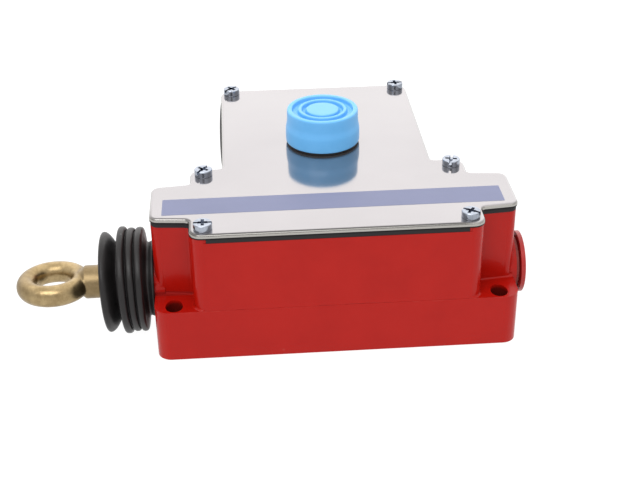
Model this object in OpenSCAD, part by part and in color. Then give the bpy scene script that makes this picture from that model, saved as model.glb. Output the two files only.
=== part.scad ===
// Rope pull switch for a machine's emergency stop line, with a booted reset button.
// All sizes are in millimetres. The pull axis runs along X with the rope eye towards -X, the
// wiring leg points to +Y and the mounting face lies at Z = 0, centred on the fixing holes.

/* [Mounting base] */
// Length of the base flange along the pull axis
base_length = 137.8; // [137:0.2:141]
// Depth of the base flange and of the middle block above it
base_depth = 53; // [51:0.5:58]
// Height of the base flange
base_height = 21.1; // [17:0.1:26]
// Corner radius of the base flange in plan
base_corner_r = 5.5; // [3:0.5:8]
// Diameter of the four fixing holes
fixing_hole_d = 6.2; // [5:0.1:7]
// Distance of the fixing holes from the ends of the base flange
fixing_inset_x = 7.4; // [7:0.1:8]
// Distance of the fixing holes from the sides of the base flange
fixing_inset_y = 4.25; // [4:0.05:5]
// Radius of the cove at the foot of the corner pockets
pocket_cove_r = 1; // [0.8:0.2:3]

/* [Casting outline] */
// Length of the middle block, which is also the front tab of the cover
block_length = 108.6; // [106:0.2:110]
// Corner radius of the middle block
block_corner_r = 4.8; // [4:0.2:6]
// Reach of the cover's wings past each end of the base flange
wing_overhang = 0.1; // [0:0.1:0.5]
// Width of a wing where it leaves the middle block
wing_root_w = 28.4; // [27:0.2:30]
// Width of a wing at its tip
wing_tip_w = 25.4; // [24.4:0.2:27]
// Corner radius of the wing tips
wing_corner_r = 3.5; // [2:0.25:5]
// Width of the wiring leg
leg_width = 83.4; // [80:0.2:90]
// Distance from the pull axis to the far end of the wiring leg
leg_reach = 104.4; // [102:0.2:116]
// Corner radius of the far end of the wiring leg
leg_corner_r = 5; // [4:0.5:7]
// Fillet radius in the inner corners of the outline
inner_fillet_r = 2; // [1:0.25:3]

/* [Casting walls] */
// Height of the casting's rim
rim_height = 49.9; // [48:0.1:60]
// Thickness of the side walls
wall_t = 3.6; // [3:0.1:3.8]
// Thickness of the floor
floor_t = 4.5; // [4:0.1:6]
// Set-back of the walls from the cover's edge
wall_setback = 0.3; // [0.1:0.1:0.8]
// Radius of the cover screw posts
screw_post_r = 4.5; // [4.4:0.1:4.6]
// Height of the seats that the inner parts are screwed to
seat_height = 8; // [7:0.5:9]
// Radius of those seats
seat_r = 4; // [3.5:0.25:4.5]

/* [Cover] */
// Thickness of the cover gasket
gasket_t = 1.8; // [1.2:0.1:2.5]
// Width of the gasket band along the walls
gasket_w = 3.6; // [3:0.1:5]
// Width of the gasket where it goes round the screw posts
gasket_loop_w = 2.4; // [1.5:0.1:2.8]
// Thickness of the cover plate
cover_t = 2; // [1.6:0.1:2.5]
// Radius of the cover's rolled top edge
cover_edge_r = 1.2; // [0.8:0.1:1.4]
// Half pitch of the four cover screws on the middle block, along the pull axis
cover_screw_x = 49; // [48.6:0.1:49.2]
// Half pitch of the same screws across the pull axis
cover_screw_y = 21.5; // [21:0.1:22]
// Half pitch of the two screws at the end of the leg
leg_screw_x = 36.9; // [36:0.1:37.4]
// Distance of the leg screws from the end of the leg
leg_screw_inset = 3.7; // [3.6:0.1:4.2]
// Diameter of the cover screws
cover_screw_d = 4; // [3.5:0.5:4]
// Length of a cover screw under its head
cover_screw_len = 12; // [10:1:16]
// Diameter of the cover screw heads
cover_head_d = 7; // [6.5:0.1:7.4]
// Height of the cover screw heads
cover_head_h = 2.6; // [2:0.1:3]

/* [Pull line] */
// Height of the pull axis above the mounting face
axis_z = 20.5; // [20.4:0.1:22]
// Travel of the eye from slack to fully pulled
pull_travel = 16; // [12:0.5:16]
// Diameter of the thick part of the pull rod
rod_d = 12; // [11:0.5:12]
// Diameter of the thin part of the pull rod
rod_tail_d = 8; // [7:0.5:8]
// Reach of the rod's outer end past the wing
rod_stand = 16.2; // [15:0.2:18]
// Distance from the casting's middle to the rod's step
rod_step_x = 36; // [32:1:40]
// Length of the rod's thread beyond its nut
rod_thread_end = 1; // [0.5:0.1:1]
// Diameter of the nose that carries the bellows
nose_d = 26; // [25:0.5:27]
// Length of that nose
nose_len = 4; // [3:0.5:5]
// Diameter of the front guide bush
front_bush_d = 18; // [17:0.5:18]
// Reach of the front guide bush into the casting, from the outside of the wing
front_bush_in = 9.8; // [8:0.2:12]

/* [Rope eye] */
// Distance from the wing's end to the centre of the eye
eye_stand = 40.9; // [40:0.1:44]
// Mean radius of the eye's ring
eye_ring_r = 10.25; // [9.5:0.25:11]
// Width of the ring's section, in the plane of the ring
eye_band_w = 6; // [5:0.25:6.5]
// Height of the ring's section
eye_band_h = 8.2; // [6.5:0.1:9]
// Diameter of the eye's shank
shank_d = 12.6; // [12:0.1:13]
// Diameter of the stud that screws into the rod
stud_d = 8; // [6:0.5:8]
// Length of that stud
stud_len = 14; // [10:1:16]

/* [Bellows] */
// Number of closed folds
fold_count = 3; // [2:1:3]
// Pitch of the closed folds
fold_pitch = 3; // [2.8:0.1:3.1]
// Thickness of a closed fold
fold_t = 2.5; // [2.3:0.1:2.6]
// Distance of the first fold from the wing's end
fold_start = 5.7; // [5.4:0.1:6.4]
// Radius over the folds
fold_r = 20.2; // [18:0.1:20.3]
// Radius over the outer cup
cup_r = 19.2; // [17:0.1:20]
// Distance of the cup's front from the wing's end
cup_front = 20.7; // [20.5:0.1:22]
// Thickness of the rubber
rubber_t = 1.4; // [1.2:0.1:1.6]
// Radius at the foot of the folds
fold_root_r = 14.5; // [14:0.1:15]

/* [Return spring and bearing] */
// Distance from the middle to the rear bearing
bearing_x = 24.3; // [24.1:0.1:26]
// Thickness of the rear bearing
bearing_t = 4; // [3:0.5:5]
// Radius of the rear bearing's head
bearing_r = 10; // [9:0.5:11]
// Outer diameter of the rear bush
rear_bush_d = 12; // [11:0.5:13]
// Room between the return spring and the outside of the wing
spring_room = 11.9; // [11.6:0.1:13]
// Mean radius of the return spring
spring_r = 6.3; // [6.2:0.1:6.4]
// Wire diameter of the return spring
spring_wire = 1.7; // [1.5:0.1:1.7]
// Turns of the return spring
spring_turns = 6; // [5:0.5:6.5]
// Flange thickness of the spring seat
spring_seat_t = 2; // [1.5:0.1:2.5]
// Flange diameter of the spring seat
spring_seat_d = 16; // [15:0.5:17]
// Width across flats of the rod nut
rod_nut_af = 13; // [12:0.5:14]
// Thickness of the rod nut
rod_nut_t = 4.4; // [4:0.1:4.5]

/* [Cam and carrier] */
// Carrier travel for one millimetre of pull
cam_slope = 0.25; // [0.2:0.01:0.26]
// Distance of the ramp from the pull axis, at the roller
cam_offset = 7.5; // [7.4:0.1:7.8]
// Length of the cam block
cam_len = 32; // [31:0.5:32]
// Height of the cam block
cam_h = 13; // [12:0.5:14]
// Diameter of the pin through the cam block
cam_pin_d = 3; // [2.5:0.5:3]
// Diameter of the roller
roller_d = 8; // [7.5:0.1:8]
// Height of the roller
roller_h = 5; // [4:0.2:5.2]
// Diameter of the roller's pin
roller_pin_d = 3; // [2.5:0.1:3]
// Width of the carrier bar
carrier_w = 12; // [11:0.5:12.5]
// Height of the carrier bar
carrier_h = 8; // [7.6:0.1:8.4]
// Distance of the cross head's far face from the pull axis
carrier_reach = 46; // [45.5:0.1:46.4]
// Reach of the cross head past the middle of each plunger
crosshead_over = 8; // [5:0.5:9]
// Thickness of the cross head
crosshead_t = 4; // [3:0.25:4.4]

/* [Bracket and latch] */
// Distance of the bracket's front from the pull axis
bracket_front = 15; // [14.8:0.1:15.5]
// Length of the bracket
bracket_len = 26; // [25:0.5:26.5]
// Thickness of the bracket's cheeks
cheek_t = 2; // [1.5:0.1:2.4]
// Distance between the middle of the bracket and its foot screws
foot_screw_x = 14; // [13.5:0.5:16]
// Distance of the latch pin from the pull axis
latch_y = 30; // [29.5:0.1:30.5]
// Height of the latch pin
latch_z = 33; // [32.5:0.1:33.5]
// Diameter of the latch pin
latch_pin_d = 3; // [2.5:0.1:3.2]
// Distance from the latch pin to the nose of the lever
latch_nose = 8; // [7.5:0.1:8.5]
// Width of the latch lever
latch_w = 5; // [4:0.2:5.4]
// Height of the roof over the latch spring
roof_z = 38; // [37.5:0.5:39]

/* [Contact blocks] */
// Distance of a block's middle from the leg's side
block_from_side = 19.7; // [18.8:0.1:20.2]
// Width of a contact block
contact_w = 20; // [19:0.5:20.5]
// Distance of the blocks' front from the pull axis
contact_front = 52; // [51.5:0.1:53]
// Room between the blocks and the leg's end wall
block_end_room = 8.5; // [8:0.5:11]
// Distance of the block screws from the ends of a block
block_screw_in = 14; // [12.5:0.5:15]
// Distance of the block screws from the middle of a block
block_screw_x = 6.5; // [6:0.25:7]
// Height of a contact block above its seats
contact_h = 32; // [30:0.5:33]
// Length of the terminal steps at each end
step_len = 9; // [8.5:0.25:9.5]
// Depth of the terminal steps below the top
step_drop = 7; // [6:0.5:9]
// Pitch of the terminals side by side
terminal_pitch = 10; // [9.5:0.1:10]
// Size of a terminal clamp
clamp_size = 7.4; // [6.5:0.1:7.6]
// Diameter of the contact plungers
plunger_d = 5; // [4:0.2:5.2]
// Height of the plungers above the mounting face
plunger_z = 21; // [20.5:0.1:21.5]
// Length of a contact plunger
plunger_len = 12; // [11:0.5:13]
// Depth of the plunger bore in a block
plunger_bore = 20; // [19:0.5:21]

/* [Reset button] */
// Distance of the button from the pull axis
button_y = 48.1; // [47.8:0.1:48.6]
// Travel of the button
button_travel = 4.5; // [3:0.5:4.5]
// Diameter of the threaded bushing
bushing_d = 22; // [21:0.5:22.5]
// Depth of the bushing below the cover's top
bushing_depth = 11.7; // [11:0.1:12]
// Diameter of the ring seal under the boot
seal_d = 30; // [29:0.2:31]
// Height of the ring seal
seal_h = 1; // [0.8:0.1:1.4]
// Height of the boot above the cover
boot_h = 14.7; // [14.2:0.1:16]
// Largest radius of the boot
boot_r = 15.25; // [15:0.05:15.5]
// Radius of the boot at its top rim
boot_top_r = 14.4; // [13.6:0.1:14.6]
// Thickness of the boot's wall
boot_wall = 1.7; // [1.4:0.1:1.9]
// Thickness of the boot's top
boot_top_t = 1.7; // [1.5:0.1:2]
// Depth of the ring grooves in the boot's top
groove_depth = 0.8; // [0.4:0.1:1]
// Diameter of the button's stem
stem_d = 8; // [7:0.5:8]
// Diameter of the stem's nose over the latch lever
stem_nose_d = 4; // [3:0.5:4.5]
// Diameter of the push pad under the boot
pad_d = 17; // [16:0.5:19]
// Thickness of the push pad
pad_t = 4; // [3:0.5:5]
// Width across flats of the button's nut
button_nut_af = 27; // [26:0.5:28]
// Thickness of the button's nut
button_nut_t = 5; // [4:0.5:5.5]

/* [Cable entries] */
// Core diameter of the tapped entries
entry_d = 18.5; // [18:0.1:18.6]
// Height of the leg's entries above the mounting face
entry_z = 24; // [22:0.5:25]
// Length of thread at the leg's end
entry_len = 10; // [8:0.5:11]
// Distance of the side entries from the pull axis
side_entry_y = 54; // [52:0.5:56]
// Flange diameter of a blanking plug
plug_d = 24.2; // [23:0.2:25]
// Flange thickness of a blanking plug
plug_t = 2.4; // [2:0.1:3]
// Thickness of the seal under a blanking plug
plug_seal_t = 1.2; // [0.8:0.1:1.5]
// Diameter of that seal
plug_seal_d = 21.4; // [20.6:0.2:23]
// Diameter of the second outlet's boss
outlet_d = 22.6; // [22:0.2:24]
// Length of the second outlet's boss
outlet_len = 2; // [1.8:0.2:3]

/* [Hidden] */
$fn = 48;
gap = 0.1;
blend = 0.02;
thread_gap = 0.04;
run_gap = 0.05;
wing_length = base_length + 2 * wing_overhang;
fixing_x = base_length / 2 - fixing_inset_x;
fixing_y = base_depth / 2 - fixing_inset_y;
cover_z = rim_height + gasket_t;
cover_top = cover_z + cover_t;
cover_arc_steps = 7;
cover_edge_steps = 5;
wing_end = wing_length / 2 - wall_setback;
cavity_inset = wall_setback + wall_t;
tip_flat = 0.5;
wing_lean = atan((wing_root_w - wing_tip_w) / (wing_length - block_length - 2 * (wing_corner_r + tip_flat)));
inner_corner_r = 1;
block_screws_y = cover_screw_y;
leg_screw_y = leg_reach - leg_screw_inset;
cover_screws_at = [
    for (x = [-1, 1], y = [-1, 1]) [x * cover_screw_x, y * cover_screw_y],
    for (x = [-1, 1]) [x * leg_screw_x, leg_screw_y]
];
screw_turn = [0, 55, -35, 75, 40, 5];
thread_depth = cover_screw_len - cover_t - gasket_t + 2;

seat_screw_d = 3;
seat_screw_head_d = 5.5;
seat_screw_head_h = 2;
seat_screw_reach = 5;
seat_screw_spare = 0.5;
foot_t = 2;
foot_screw_in = 4.5;
foot_screws_at = [
    for (x = [-1, 1], y = [foot_screw_in, bracket_len - foot_screw_in]) [x * foot_screw_x, bracket_front + y]
];
block_x = leg_width / 2 - block_from_side;
contact_len = leg_reach - cavity_inset - block_end_room - contact_front;
block_screw_offset = [[-block_screw_x, block_screw_in], [block_screw_x, contact_len - block_screw_in]];
block_screws_at = [for (s = [-1, 1], o = block_screw_offset) [s * block_x + o[0], contact_front + o[1]]];

eye_x = wing_end + eye_stand;
rod_reach = wing_end + rod_stand;
outlet_end = wing_end + outlet_len;
side_wall = leg_width / 2 - wall_setback;
plug_thread = 7;
side_boss_r = entry_d / 2 + 3;

spring_start = bearing_x + bearing_t + gap;
spring_end = wing_end - spring_room;
spring_len = spring_end - spring_start;
nut_x = spring_end + spring_seat_t + 2 * gap;
rod_end = nut_x + rod_nut_t + rod_thread_end;
cam_end = bearing_x - 3 * gap;
cam_start = cam_end - cam_len;
cam_angle = atan(cam_slope);
cam_pin_x = cam_end - 5;

roller_y = cam_offset + roller_d / 2 / cos(cam_angle) + run_gap;
fork_gap = 0.2;
run_side = 0.3;
carrier_z = axis_z + 0.35 - carrier_h / 2;
carrier_top = carrier_z + carrier_h;
crosshead_x = block_x + crosshead_over;
web_t = 2;
web_top = carrier_z - gap;
cheek_in = carrier_w / 2 + run_side;
cheek_out = cheek_in + cheek_t;
bracket_back = bracket_front + bracket_len;
roof_t = 2;
roof_len = 10;
lip_w = 2.4;
lip_t = 1.5;
lip_len = 7;

latch_hub_r = 4;
latch_tip_r = 2.2;
latch_nose_r = 1.6;
latch_arm_w = 3.2;
latch_pad_over = 2.6;
nose_y = latch_y - latch_nose;
nose_z = carrier_top + 0.15 + latch_nose_r;
latch_pad_z = latch_z - 2.4;
latch_spring_r = 2;
latch_spring_wire = 0.5;

plunger_tip_y = carrier_reach + gap;
plunger_wire = 0.6;
clamp_t = 1;
terminal_screw_d = 3.5;
terminal_head_d = 6;
terminal_head_h = 2;
terminal_len = 7;
step_z = seat_height + contact_h - step_drop;
clamp_z = step_z - clamp_t - terminal_head_h - 0.5;
terminals_at = [
    for (s = [-1, 1], t = [-1, 1], e = [step_len / 2, contact_len - step_len / 2])
        [s * block_x + t * terminal_pitch / 2, contact_front + e]
];

earth_y = leg_reach - 22.4;
earth_seat_z = 12;
earth_screw_d = 4;
earth_head_d = 8;
earth_clamp_d = 10;
earth_clamp_t = 1;
earth_len = 8;

seal_top = cover_top + seal_h;
boot_lip_t = 1.1;
flange_z = seal_top + boot_lip_t + gap;
flange_t = 1.5;
flange_d = 25.6;
boot_top = cover_top + boot_h;
pad_top = boot_top - groove_depth - boot_top_t - 3 * gap;
pad_z = pad_top - pad_t;
bushing_z = cover_top - bushing_depth;
bushing_floor = 5;
reset_spring_r = 6.3;
reset_wire = 0.9;
stem_foot = latch_z + latch_tip_r + 0.3;
clip_t = 1.2;
clip_z = bushing_z - clip_t - 3 * gap;
stem_groove_r = stem_d / 2 - 0.7;
stem_nose_len = 4;

// ---- shared shapes ----

// A rounded rectangle between two opposite corners, with true arcs
module rounded2d(x0, y0, x1, y1, r) {
    translate([x0 + r, y0]) square([x1 - x0 - 2 * r, y1 - y0]);
    translate([x0, y0 + r]) square([x1 - x0, y1 - y0 - 2 * r]);
    for (x = [x0 + r, x1 - r], y = [y0 + r, y1 - r]) translate([x, y]) circle(r);
}

// The material that rounds an inner corner at the origin, between a wall along +X and one at angle a
module inner_fillet2d(r, a = 90) {
    reach = r / tan(a / 2);
    difference() {
        polygon([
            -2 * gap * [cos(a / 2), sin(a / 2)],
            [reach, -gap],
            [reach, r],
            reach * [cos(a), sin(a)] + gap * [-sin(a), cos(a)]
        ]);
        translate([reach, r]) circle(r + blend);
    }
}

// Plan of the cover and, set back, of the walls and the cavity
module plan2d(inset) {
    bx = block_length / 2 - inset;
    by = base_depth / 2 - inset;
    lx = leg_width / 2 - inset;
    wx = wing_length / 2 - inset;
    root = wing_root_w / 2 - inset;
    tip = wing_tip_w / 2 - inset;
    tip_r = max(wing_corner_r - inset, inner_corner_r);
    knee = wx - tip_r;
    lean_y = (root - tip) / (knee - tip_flat - bx);
    near = bx - 1;
    near_y = root + lean_y;
    far = knee + tip_flat / 2;
    far_y = tip - 1.5 * tip_flat * lean_y;
    rounded2d(-bx, -by, bx, by, max(block_corner_r - inset, inner_corner_r));
    rounded2d(-lx, 0, lx, leg_reach - inset, max(leg_corner_r - inset, inner_corner_r));
    polygon([
        [-far, far_y], [-near, near_y], [near, near_y], [far, far_y],
        [far, -far_y], [near, -near_y], [-near, -near_y], [-far, -far_y]
    ]);
    rounded2d(-wx, -tip, wx, tip, tip_r);
    lean = atan(lean_y);
    for (m = [0, 1]) mirror([m, 0]) {
        for (n = [0, 1]) mirror([0, n]) translate([bx, root])
            rotate([0, 0, -lean]) inner_fillet2d(inner_fillet_r, 90 + lean);
        translate([lx, by]) inner_fillet2d(inner_fillet_r);
    }
}

// The corners of the plan that the cover screws hold down
module screw_corners2d(r) {
    for (p = cover_screws_at) {
        translate(p) circle(r);
        out = p[1] == leg_screw_y ? leg_reach : sign(p[1]) * base_depth / 2;
        side = sign(p[0]) * (p[1] == leg_screw_y ? leg_width : block_length) / 2;
        polygon([p, [side, p[1]], [side, out], [p[0], out]]);
    }
}

// A cylinder along X, from x0 to x1 on the pull axis
module on_axis(x0, x1, r) {
    translate([x0, 0, axis_z]) rotate([0, 90, 0]) cylinder(r = r, h = x1 - x0);
}

// Material for a cove along +X at the foot of a wall that faces -Y
module cove(len, r) {
    rotate([90, 0, 90]) linear_extrude(len) mirror([1, 0]) inner_fillet2d(r);
}

// A flat bar of width w between two larger round ends
module link2d(p, rp, q, rq, w) {
    d = q - p;
    translate(p) circle(rp);
    translate(q) circle(rq);
    translate(p) rotate([0, 0, atan2(d[1], d[0])]) translate([0, -w / 2]) square([norm(d), w]);
}

// Height of a spring's wire after t turns, with a closed turn at each end
function coil_z(t, turns, wire, len) =
    let (closed = 0.9, rise = wire * 1.04, span = len - wire - 2 * closed * rise)
    wire / 2 + (t < closed ? t * rise
        : t > turns - closed ? len - wire - (turns - t) * rise
        : closed * rise + (t - closed) * span / (turns - 2 * closed));

// A helical compression spring standing on Z = 0
module coil_spring(len, r, wire, turns, sides, steps) {
    rings = ceil(turns * steps);
    points = [
        for (i = [0:rings], j = [0:sides - 1])
            let (t = i * turns / rings, a = 360 * t, b = 360 * j / sides, w = wire / 2)
                [for (v = [cos(a), sin(a)]) (r + w * cos(b)) * v, coil_z(t, turns, wire, len) + w * sin(b)]
    ];
    skin = [
        for (i = [0:rings - 1], j = [0:sides - 1], k = [0, 1])
            let (a = i * sides + j, b = i * sides + (j + 1) % sides)
                k == 0 ? [a, a + sides, b] : [b, a + sides, b + sides]
    ];
    start = [for (j = [0:sides - 1]) j];
    finish = [for (j = [sides - 1:-1:0]) rings * sides + j];
    polyhedron(points, concat(skin, [start, finish]), convexity = 10);
}

// A screw with its head on Z = 0 and its shank below
module screw(d, len, head_d, head_h) {
    cylinder(d = head_d, h = head_h);
    translate([0, 0, -len]) cylinder(d = d, h = len + gap);
}

module slot_cut(d, w, depth, top) {
    translate([-d / 2, -w / 2, top - depth]) cube([d, w, depth + gap]);
}

// ---- casting ----

module nose() {
    on_axis(-wing_end - nose_len, -wing_end + wall_t, nose_d / 2);
}

module outlet_boss() {
    on_axis(wing_end - wall_t, outlet_end, outlet_d / 2);
}

// Coves where the middle block and the wings stand on the base flange
module pocket_coves() {
    bx = block_length / 2 - wall_setback;
    by = base_depth / 2 - wall_setback;
    r = block_corner_r - wall_setback;
    intersection() {
        linear_extrude(base_height + pocket_cove_r)
            rounded2d(-base_length / 2, -base_depth / 2, base_length / 2, base_depth / 2, base_corner_r);
        for (m = [0, 1], n = [0, 1]) mirror([m, 0, 0]) mirror([0, n, 0]) {
            translate([bx, -wing_root_w / 2 + wall_setback, base_height])
                rotate([0, 0, wing_lean]) cove(base_length, pocket_cove_r);
            translate([bx, 0, base_height]) rotate([0, 0, -90]) mirror([0, 1, 0])
                cove(by - r, pocket_cove_r);
            translate([bx - r, -by + r, base_height]) rotate([0, 0, -90])
                rotate_extrude(angle = 90) translate([r, 0]) inner_fillet2d(pocket_cove_r);
        }
    }
}

module cast_body() {
    linear_extrude(base_height)
        rounded2d(-base_length / 2, -base_depth / 2, base_length / 2, base_depth / 2, base_corner_r);
    linear_extrude(rim_height) plan2d(wall_setback);
    linear_extrude(cover_z) intersection() {
        plan2d(wall_setback);
        screw_corners2d(screw_post_r);
    }
    pocket_coves();
    nose();
    outlet_boss();
}

module seat(at, top, r) {
    translate([at[0], at[1], floor_t - gap]) cylinder(r = r, h = top - floor_t + gap);
}

module inner_bosses() {
    on_axis(-wing_end, -wing_end + front_bush_in, front_bush_d / 2 + 2.2);
    on_axis(bearing_x, bearing_x + bearing_t, bearing_r);
    translate([bearing_x, -bearing_r, floor_t - gap]) cube([bearing_t, 2 * bearing_r, axis_z - floor_t]);
    for (p = foot_screws_at) seat(p, seat_height, seat_r);
    for (p = block_screws_at) seat(p, seat_height, seat_r);
    seat([0, earth_y], earth_seat_z, earth_clamp_d / 2);
    translate([0, leg_reach - wall_setback - gap, entry_z])
        rotate([90, 0, 0]) cylinder(r = side_boss_r, h = entry_len - gap);
    for (s = [-1, 1]) translate([s * (side_wall - gap), side_entry_y, entry_z])
        rotate([0, -90 * s, 0]) cylinder(r = side_boss_r, h = plug_thread - 2 * gap);
}

module blind_hole(at, top, d, depth) {
    translate([at[0], at[1], top - depth]) cylinder(d = d, h = depth + 1);
}

module housing() {
    color("firebrick") difference() {
        union() {
            difference() {
                cast_body();
                translate([0, 0, floor_t]) linear_extrude(cover_z) difference() {
                    plan2d(cavity_inset);
                    screw_corners2d(screw_post_r + gasket_loop_w);
                }
            }
            inner_bosses();
        }
        for (x = [-1, 1], y = [-1, 1]) translate([x * fixing_x, y * fixing_y, -1])
            cylinder(d = fixing_hole_d, h = base_height + 2);
        for (p = cover_screws_at) blind_hole(p, cover_z, cover_screw_d + 2 * thread_gap, thread_depth);
        for (p = concat(foot_screws_at, block_screws_at))
            blind_hole(p, seat_height, seat_screw_d + 2 * thread_gap, seat_screw_reach + seat_screw_spare);
        blind_hole([0, earth_y], earth_seat_z, earth_screw_d + 2 * thread_gap, earth_len);
        on_axis(-wing_end - nose_len - 1, -wing_end + front_bush_in + 1, front_bush_d / 2);
        on_axis(bearing_x - 1, bearing_x + bearing_t + 1, rear_bush_d / 2);
        on_axis(wing_end - wall_t - 1, outlet_end + 1, entry_d / 2);
        translate([0, leg_reach + 1, entry_z]) rotate([90, 0, 0]) cylinder(d = entry_d, h = entry_len + 3);
        for (s = [-1, 1]) translate([s * (side_wall + 1), side_entry_y, entry_z])
            rotate([0, -90 * s, 0]) cylinder(d = entry_d, h = plug_thread + 3);
    }
}

// ---- cover ----

// Corners of the cover, anticlockwise, each with its radius, which is negative in an inner corner
function cover_corners() =
    let (
        bx = block_length / 2, by = base_depth / 2, root = wing_root_w / 2,
        wx = wing_length / 2, tip = wing_tip_w / 2, lx = leg_width / 2
    ) [
        [bx, -by, block_corner_r], [bx, -root, -inner_fillet_r],
        [wx, -tip, wing_corner_r], [wx, tip, wing_corner_r],
        [bx, root, -inner_fillet_r], [bx, by, block_corner_r],
        [lx, by, -inner_fillet_r], [lx, leg_reach, leg_corner_r],
        [-lx, leg_reach, leg_corner_r], [-lx, by, -inner_fillet_r],
        [-bx, by, block_corner_r], [-bx, root, -inner_fillet_r],
        [-wx, tip, wing_corner_r], [-wx, -tip, wing_corner_r],
        [-bx, -root, -inner_fillet_r], [-bx, -by, block_corner_r]
    ];

// The cover's rounded outline, set inwards by d, with a few points on each corner's arc
function cover_outline(d) = let (c = cover_corners(), n = len(c)) [
    for (i = [0:n - 1])
        let (
            p = [c[i][0], c[i][1]], a = c[(i + n - 1) % n], b = c[(i + 1) % n],
            into = p - [a[0], a[1]], away = [b[0], b[1]] - p,
            u = [-into[1], into[0]] / norm(into), v = [-away[1], away[0]] / norm(away),
            r = c[i][2] > 0 ? max(c[i][2], d + inner_corner_r) : c[i][2],
            centre = p + r * (u + v) / (1 + u * v),
            turn = sign(r) * acos(u * v), start = atan2(u[1], u[0])
        )
        for (k = [0:cover_arc_steps])
            let (w = start + turn * k / cover_arc_steps) centre - (r - d) * [cos(w), sin(w)]
];

// The cover's rolled rim: a closed ring with its top edge rounded all round
module rolled_rim() {
    inner = cover_edge_r + 2 * gap;
    levels = concat([[inner, cover_z], [0, cover_z]], [
        for (k = [0:cover_edge_steps])
            let (w = 90 * k / cover_edge_steps)
                [cover_edge_r * (1 - cos(w)), cover_top - cover_edge_r * (1 - sin(w))]
    ], [[inner, cover_top]]);
    points = [for (l = levels, q = cover_outline(l[0])) [q[0], q[1], l[1]]];
    count = len(levels);
    n = len(points) / count;
    skin = [
        for (i = [0:count - 1], j = [0:n - 1])
            let (a = i * n, b = (i + 1) % count * n, next = (j + 1) % n) [a + j, b + j, b + next, a + next]
    ];
    polyhedron(points, skin, convexity = 6);
}

module cover_gasket() {
    color("#26262a") translate([0, 0, rim_height]) linear_extrude(gasket_t) difference() {
        polygon(cover_outline(wall_setback + gap));
        difference() {
            polygon(cover_outline(wall_setback + gasket_w));
            for (p = cover_screws_at) translate(p) circle(screw_post_r + gasket_loop_w);
        }
        screw_corners2d(screw_post_r + 2 * gap);
    }
}

module cover_plate() {
    color("gainsboro") {
        rolled_rim();
        translate([0, 0, cover_z]) difference() {
            linear_extrude(cover_t) polygon(cover_outline(cover_edge_r + gap));
            for (p = cover_screws_at) translate([p[0], p[1], -1])
                cylinder(d = cover_screw_d + 0.5, h = cover_t + 2);
            translate([0, button_y, -1]) cylinder(d = bushing_d + 0.4, h = cover_t + 2);
        }
    }
}

// Cheese-head screws with a slot and a cross, each driven home to its own angle
module cover_screws() {
    color("lightsteelblue") for (i = [0:len(cover_screws_at) - 1])
        translate([cover_screws_at[i][0], cover_screws_at[i][1], cover_top]) rotate([0, 0, screw_turn[i]])
            difference() {
                screw(cover_screw_d, cover_screw_len, cover_head_d, cover_head_h);
                slot_cut(cover_head_d + 1, 0.9, 1.3, cover_head_h);
                rotate([0, 0, 90]) slot_cut(cover_head_d * 0.62, 0.9, 1.8, cover_head_h);
            }
}

// ---- pull line ----

module eyebolt() {
    shoulder = eye_x - eye_ring_r - eye_band_w / 2 + 1;
    ring_in = eye_x - eye_ring_r + eye_band_w / 2 - gap;
    color("darkkhaki") {
        translate([-eye_x, 0, axis_z]) rotate_extrude() rounded2d(
            eye_ring_r - eye_band_w / 2, -eye_band_h / 2,
            eye_ring_r + eye_band_w / 2, eye_band_h / 2, eye_band_w / 2 - gap
        );
        translate([-ring_in, 0, axis_z]) rotate([0, 90, 0])
            cylinder(r1 = eye_band_h / 2, r2 = shank_d / 2, h = ring_in - shoulder);
        on_axis(-shoulder, -rod_reach - gap, shank_d / 2);
        on_axis(-rod_reach - 2 * gap, -rod_reach + stud_len, stud_d / 2);
    }
}

module cam_pin_hole() {
    translate([cam_pin_x, 0, axis_z]) cylinder(d = cam_pin_d + 2 * thread_gap, h = 2 * cam_h, center = true);
}

module pull_rod() {
    color("silver") difference() {
        union() {
            on_axis(-rod_reach, -rod_step_x, rod_d / 2);
            on_axis(-rod_step_x - gap, rod_end, rod_tail_d / 2);
        }
        on_axis(-rod_reach - 1, -rod_reach + stud_len + 1, stud_d / 2 + thread_gap);
        cam_pin_hole();
    }
}

// Half section of the bellows, radius to the right and away from the wing upwards
module bellows2d() {
    tip = fold_t / 2;
    slit = fold_t - 2 * (rubber_t - 0.4);
    root_top = fold_start + (fold_count - 1) * fold_pitch + tip;
    cup_root = root_top + 1.6;
    cup_tip = 1.7;
    bore = nose_d / 2 + run_gap;
    inner = fold_root_r - rubber_t;
    difference() {
        union() {
            translate([bore, 2 * gap]) square([fold_root_r - bore, nose_len]);
            translate([inner, nose_len - 0.4]) square([rubber_t, cup_root - nose_len + 0.4]);
            for (i = [0:fold_count - 1]) translate([0, fold_start + i * fold_pitch]) {
                translate([inner, -tip]) square([fold_r - tip - inner, fold_t]);
                translate([fold_r - tip, 0]) circle(tip);
            }
            polygon([
                [inner, cup_root - 0.8], [fold_root_r, cup_root - 0.8], [cup_r - 0.4, cup_front - 2.7],
                [cup_r - cup_tip, cup_front], [shank_d / 2 + run_gap, cup_front],
                [shank_d / 2 + run_gap, cup_front - 3], [inner - 4, cup_front - 3]
            ]);
            translate([cup_r - cup_tip, cup_front - cup_tip]) circle(cup_tip);
        }
        for (i = [0:fold_count - 1]) translate([0, fold_start + i * fold_pitch])
            translate([inner - 1, -slit / 2]) square([fold_r - fold_root_r + rubber_t + 1 - 1.3, slit]);
        polygon([
            [shank_d / 2 + 2.6, cup_root - 1], [inner, cup_root - 1],
            [cup_r - 0.4 - rubber_t * 1.3, cup_front - 3.2],
            [cup_r - cup_tip - 1, cup_front - rubber_t], [shank_d / 2 + 2.6, cup_front - rubber_t]
        ]);
    }
}

module bellows() {
    color("#2b2b2e") translate([-wing_end, 0, axis_z]) rotate([0, -90, 0]) rotate_extrude() bellows2d();
}

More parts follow.
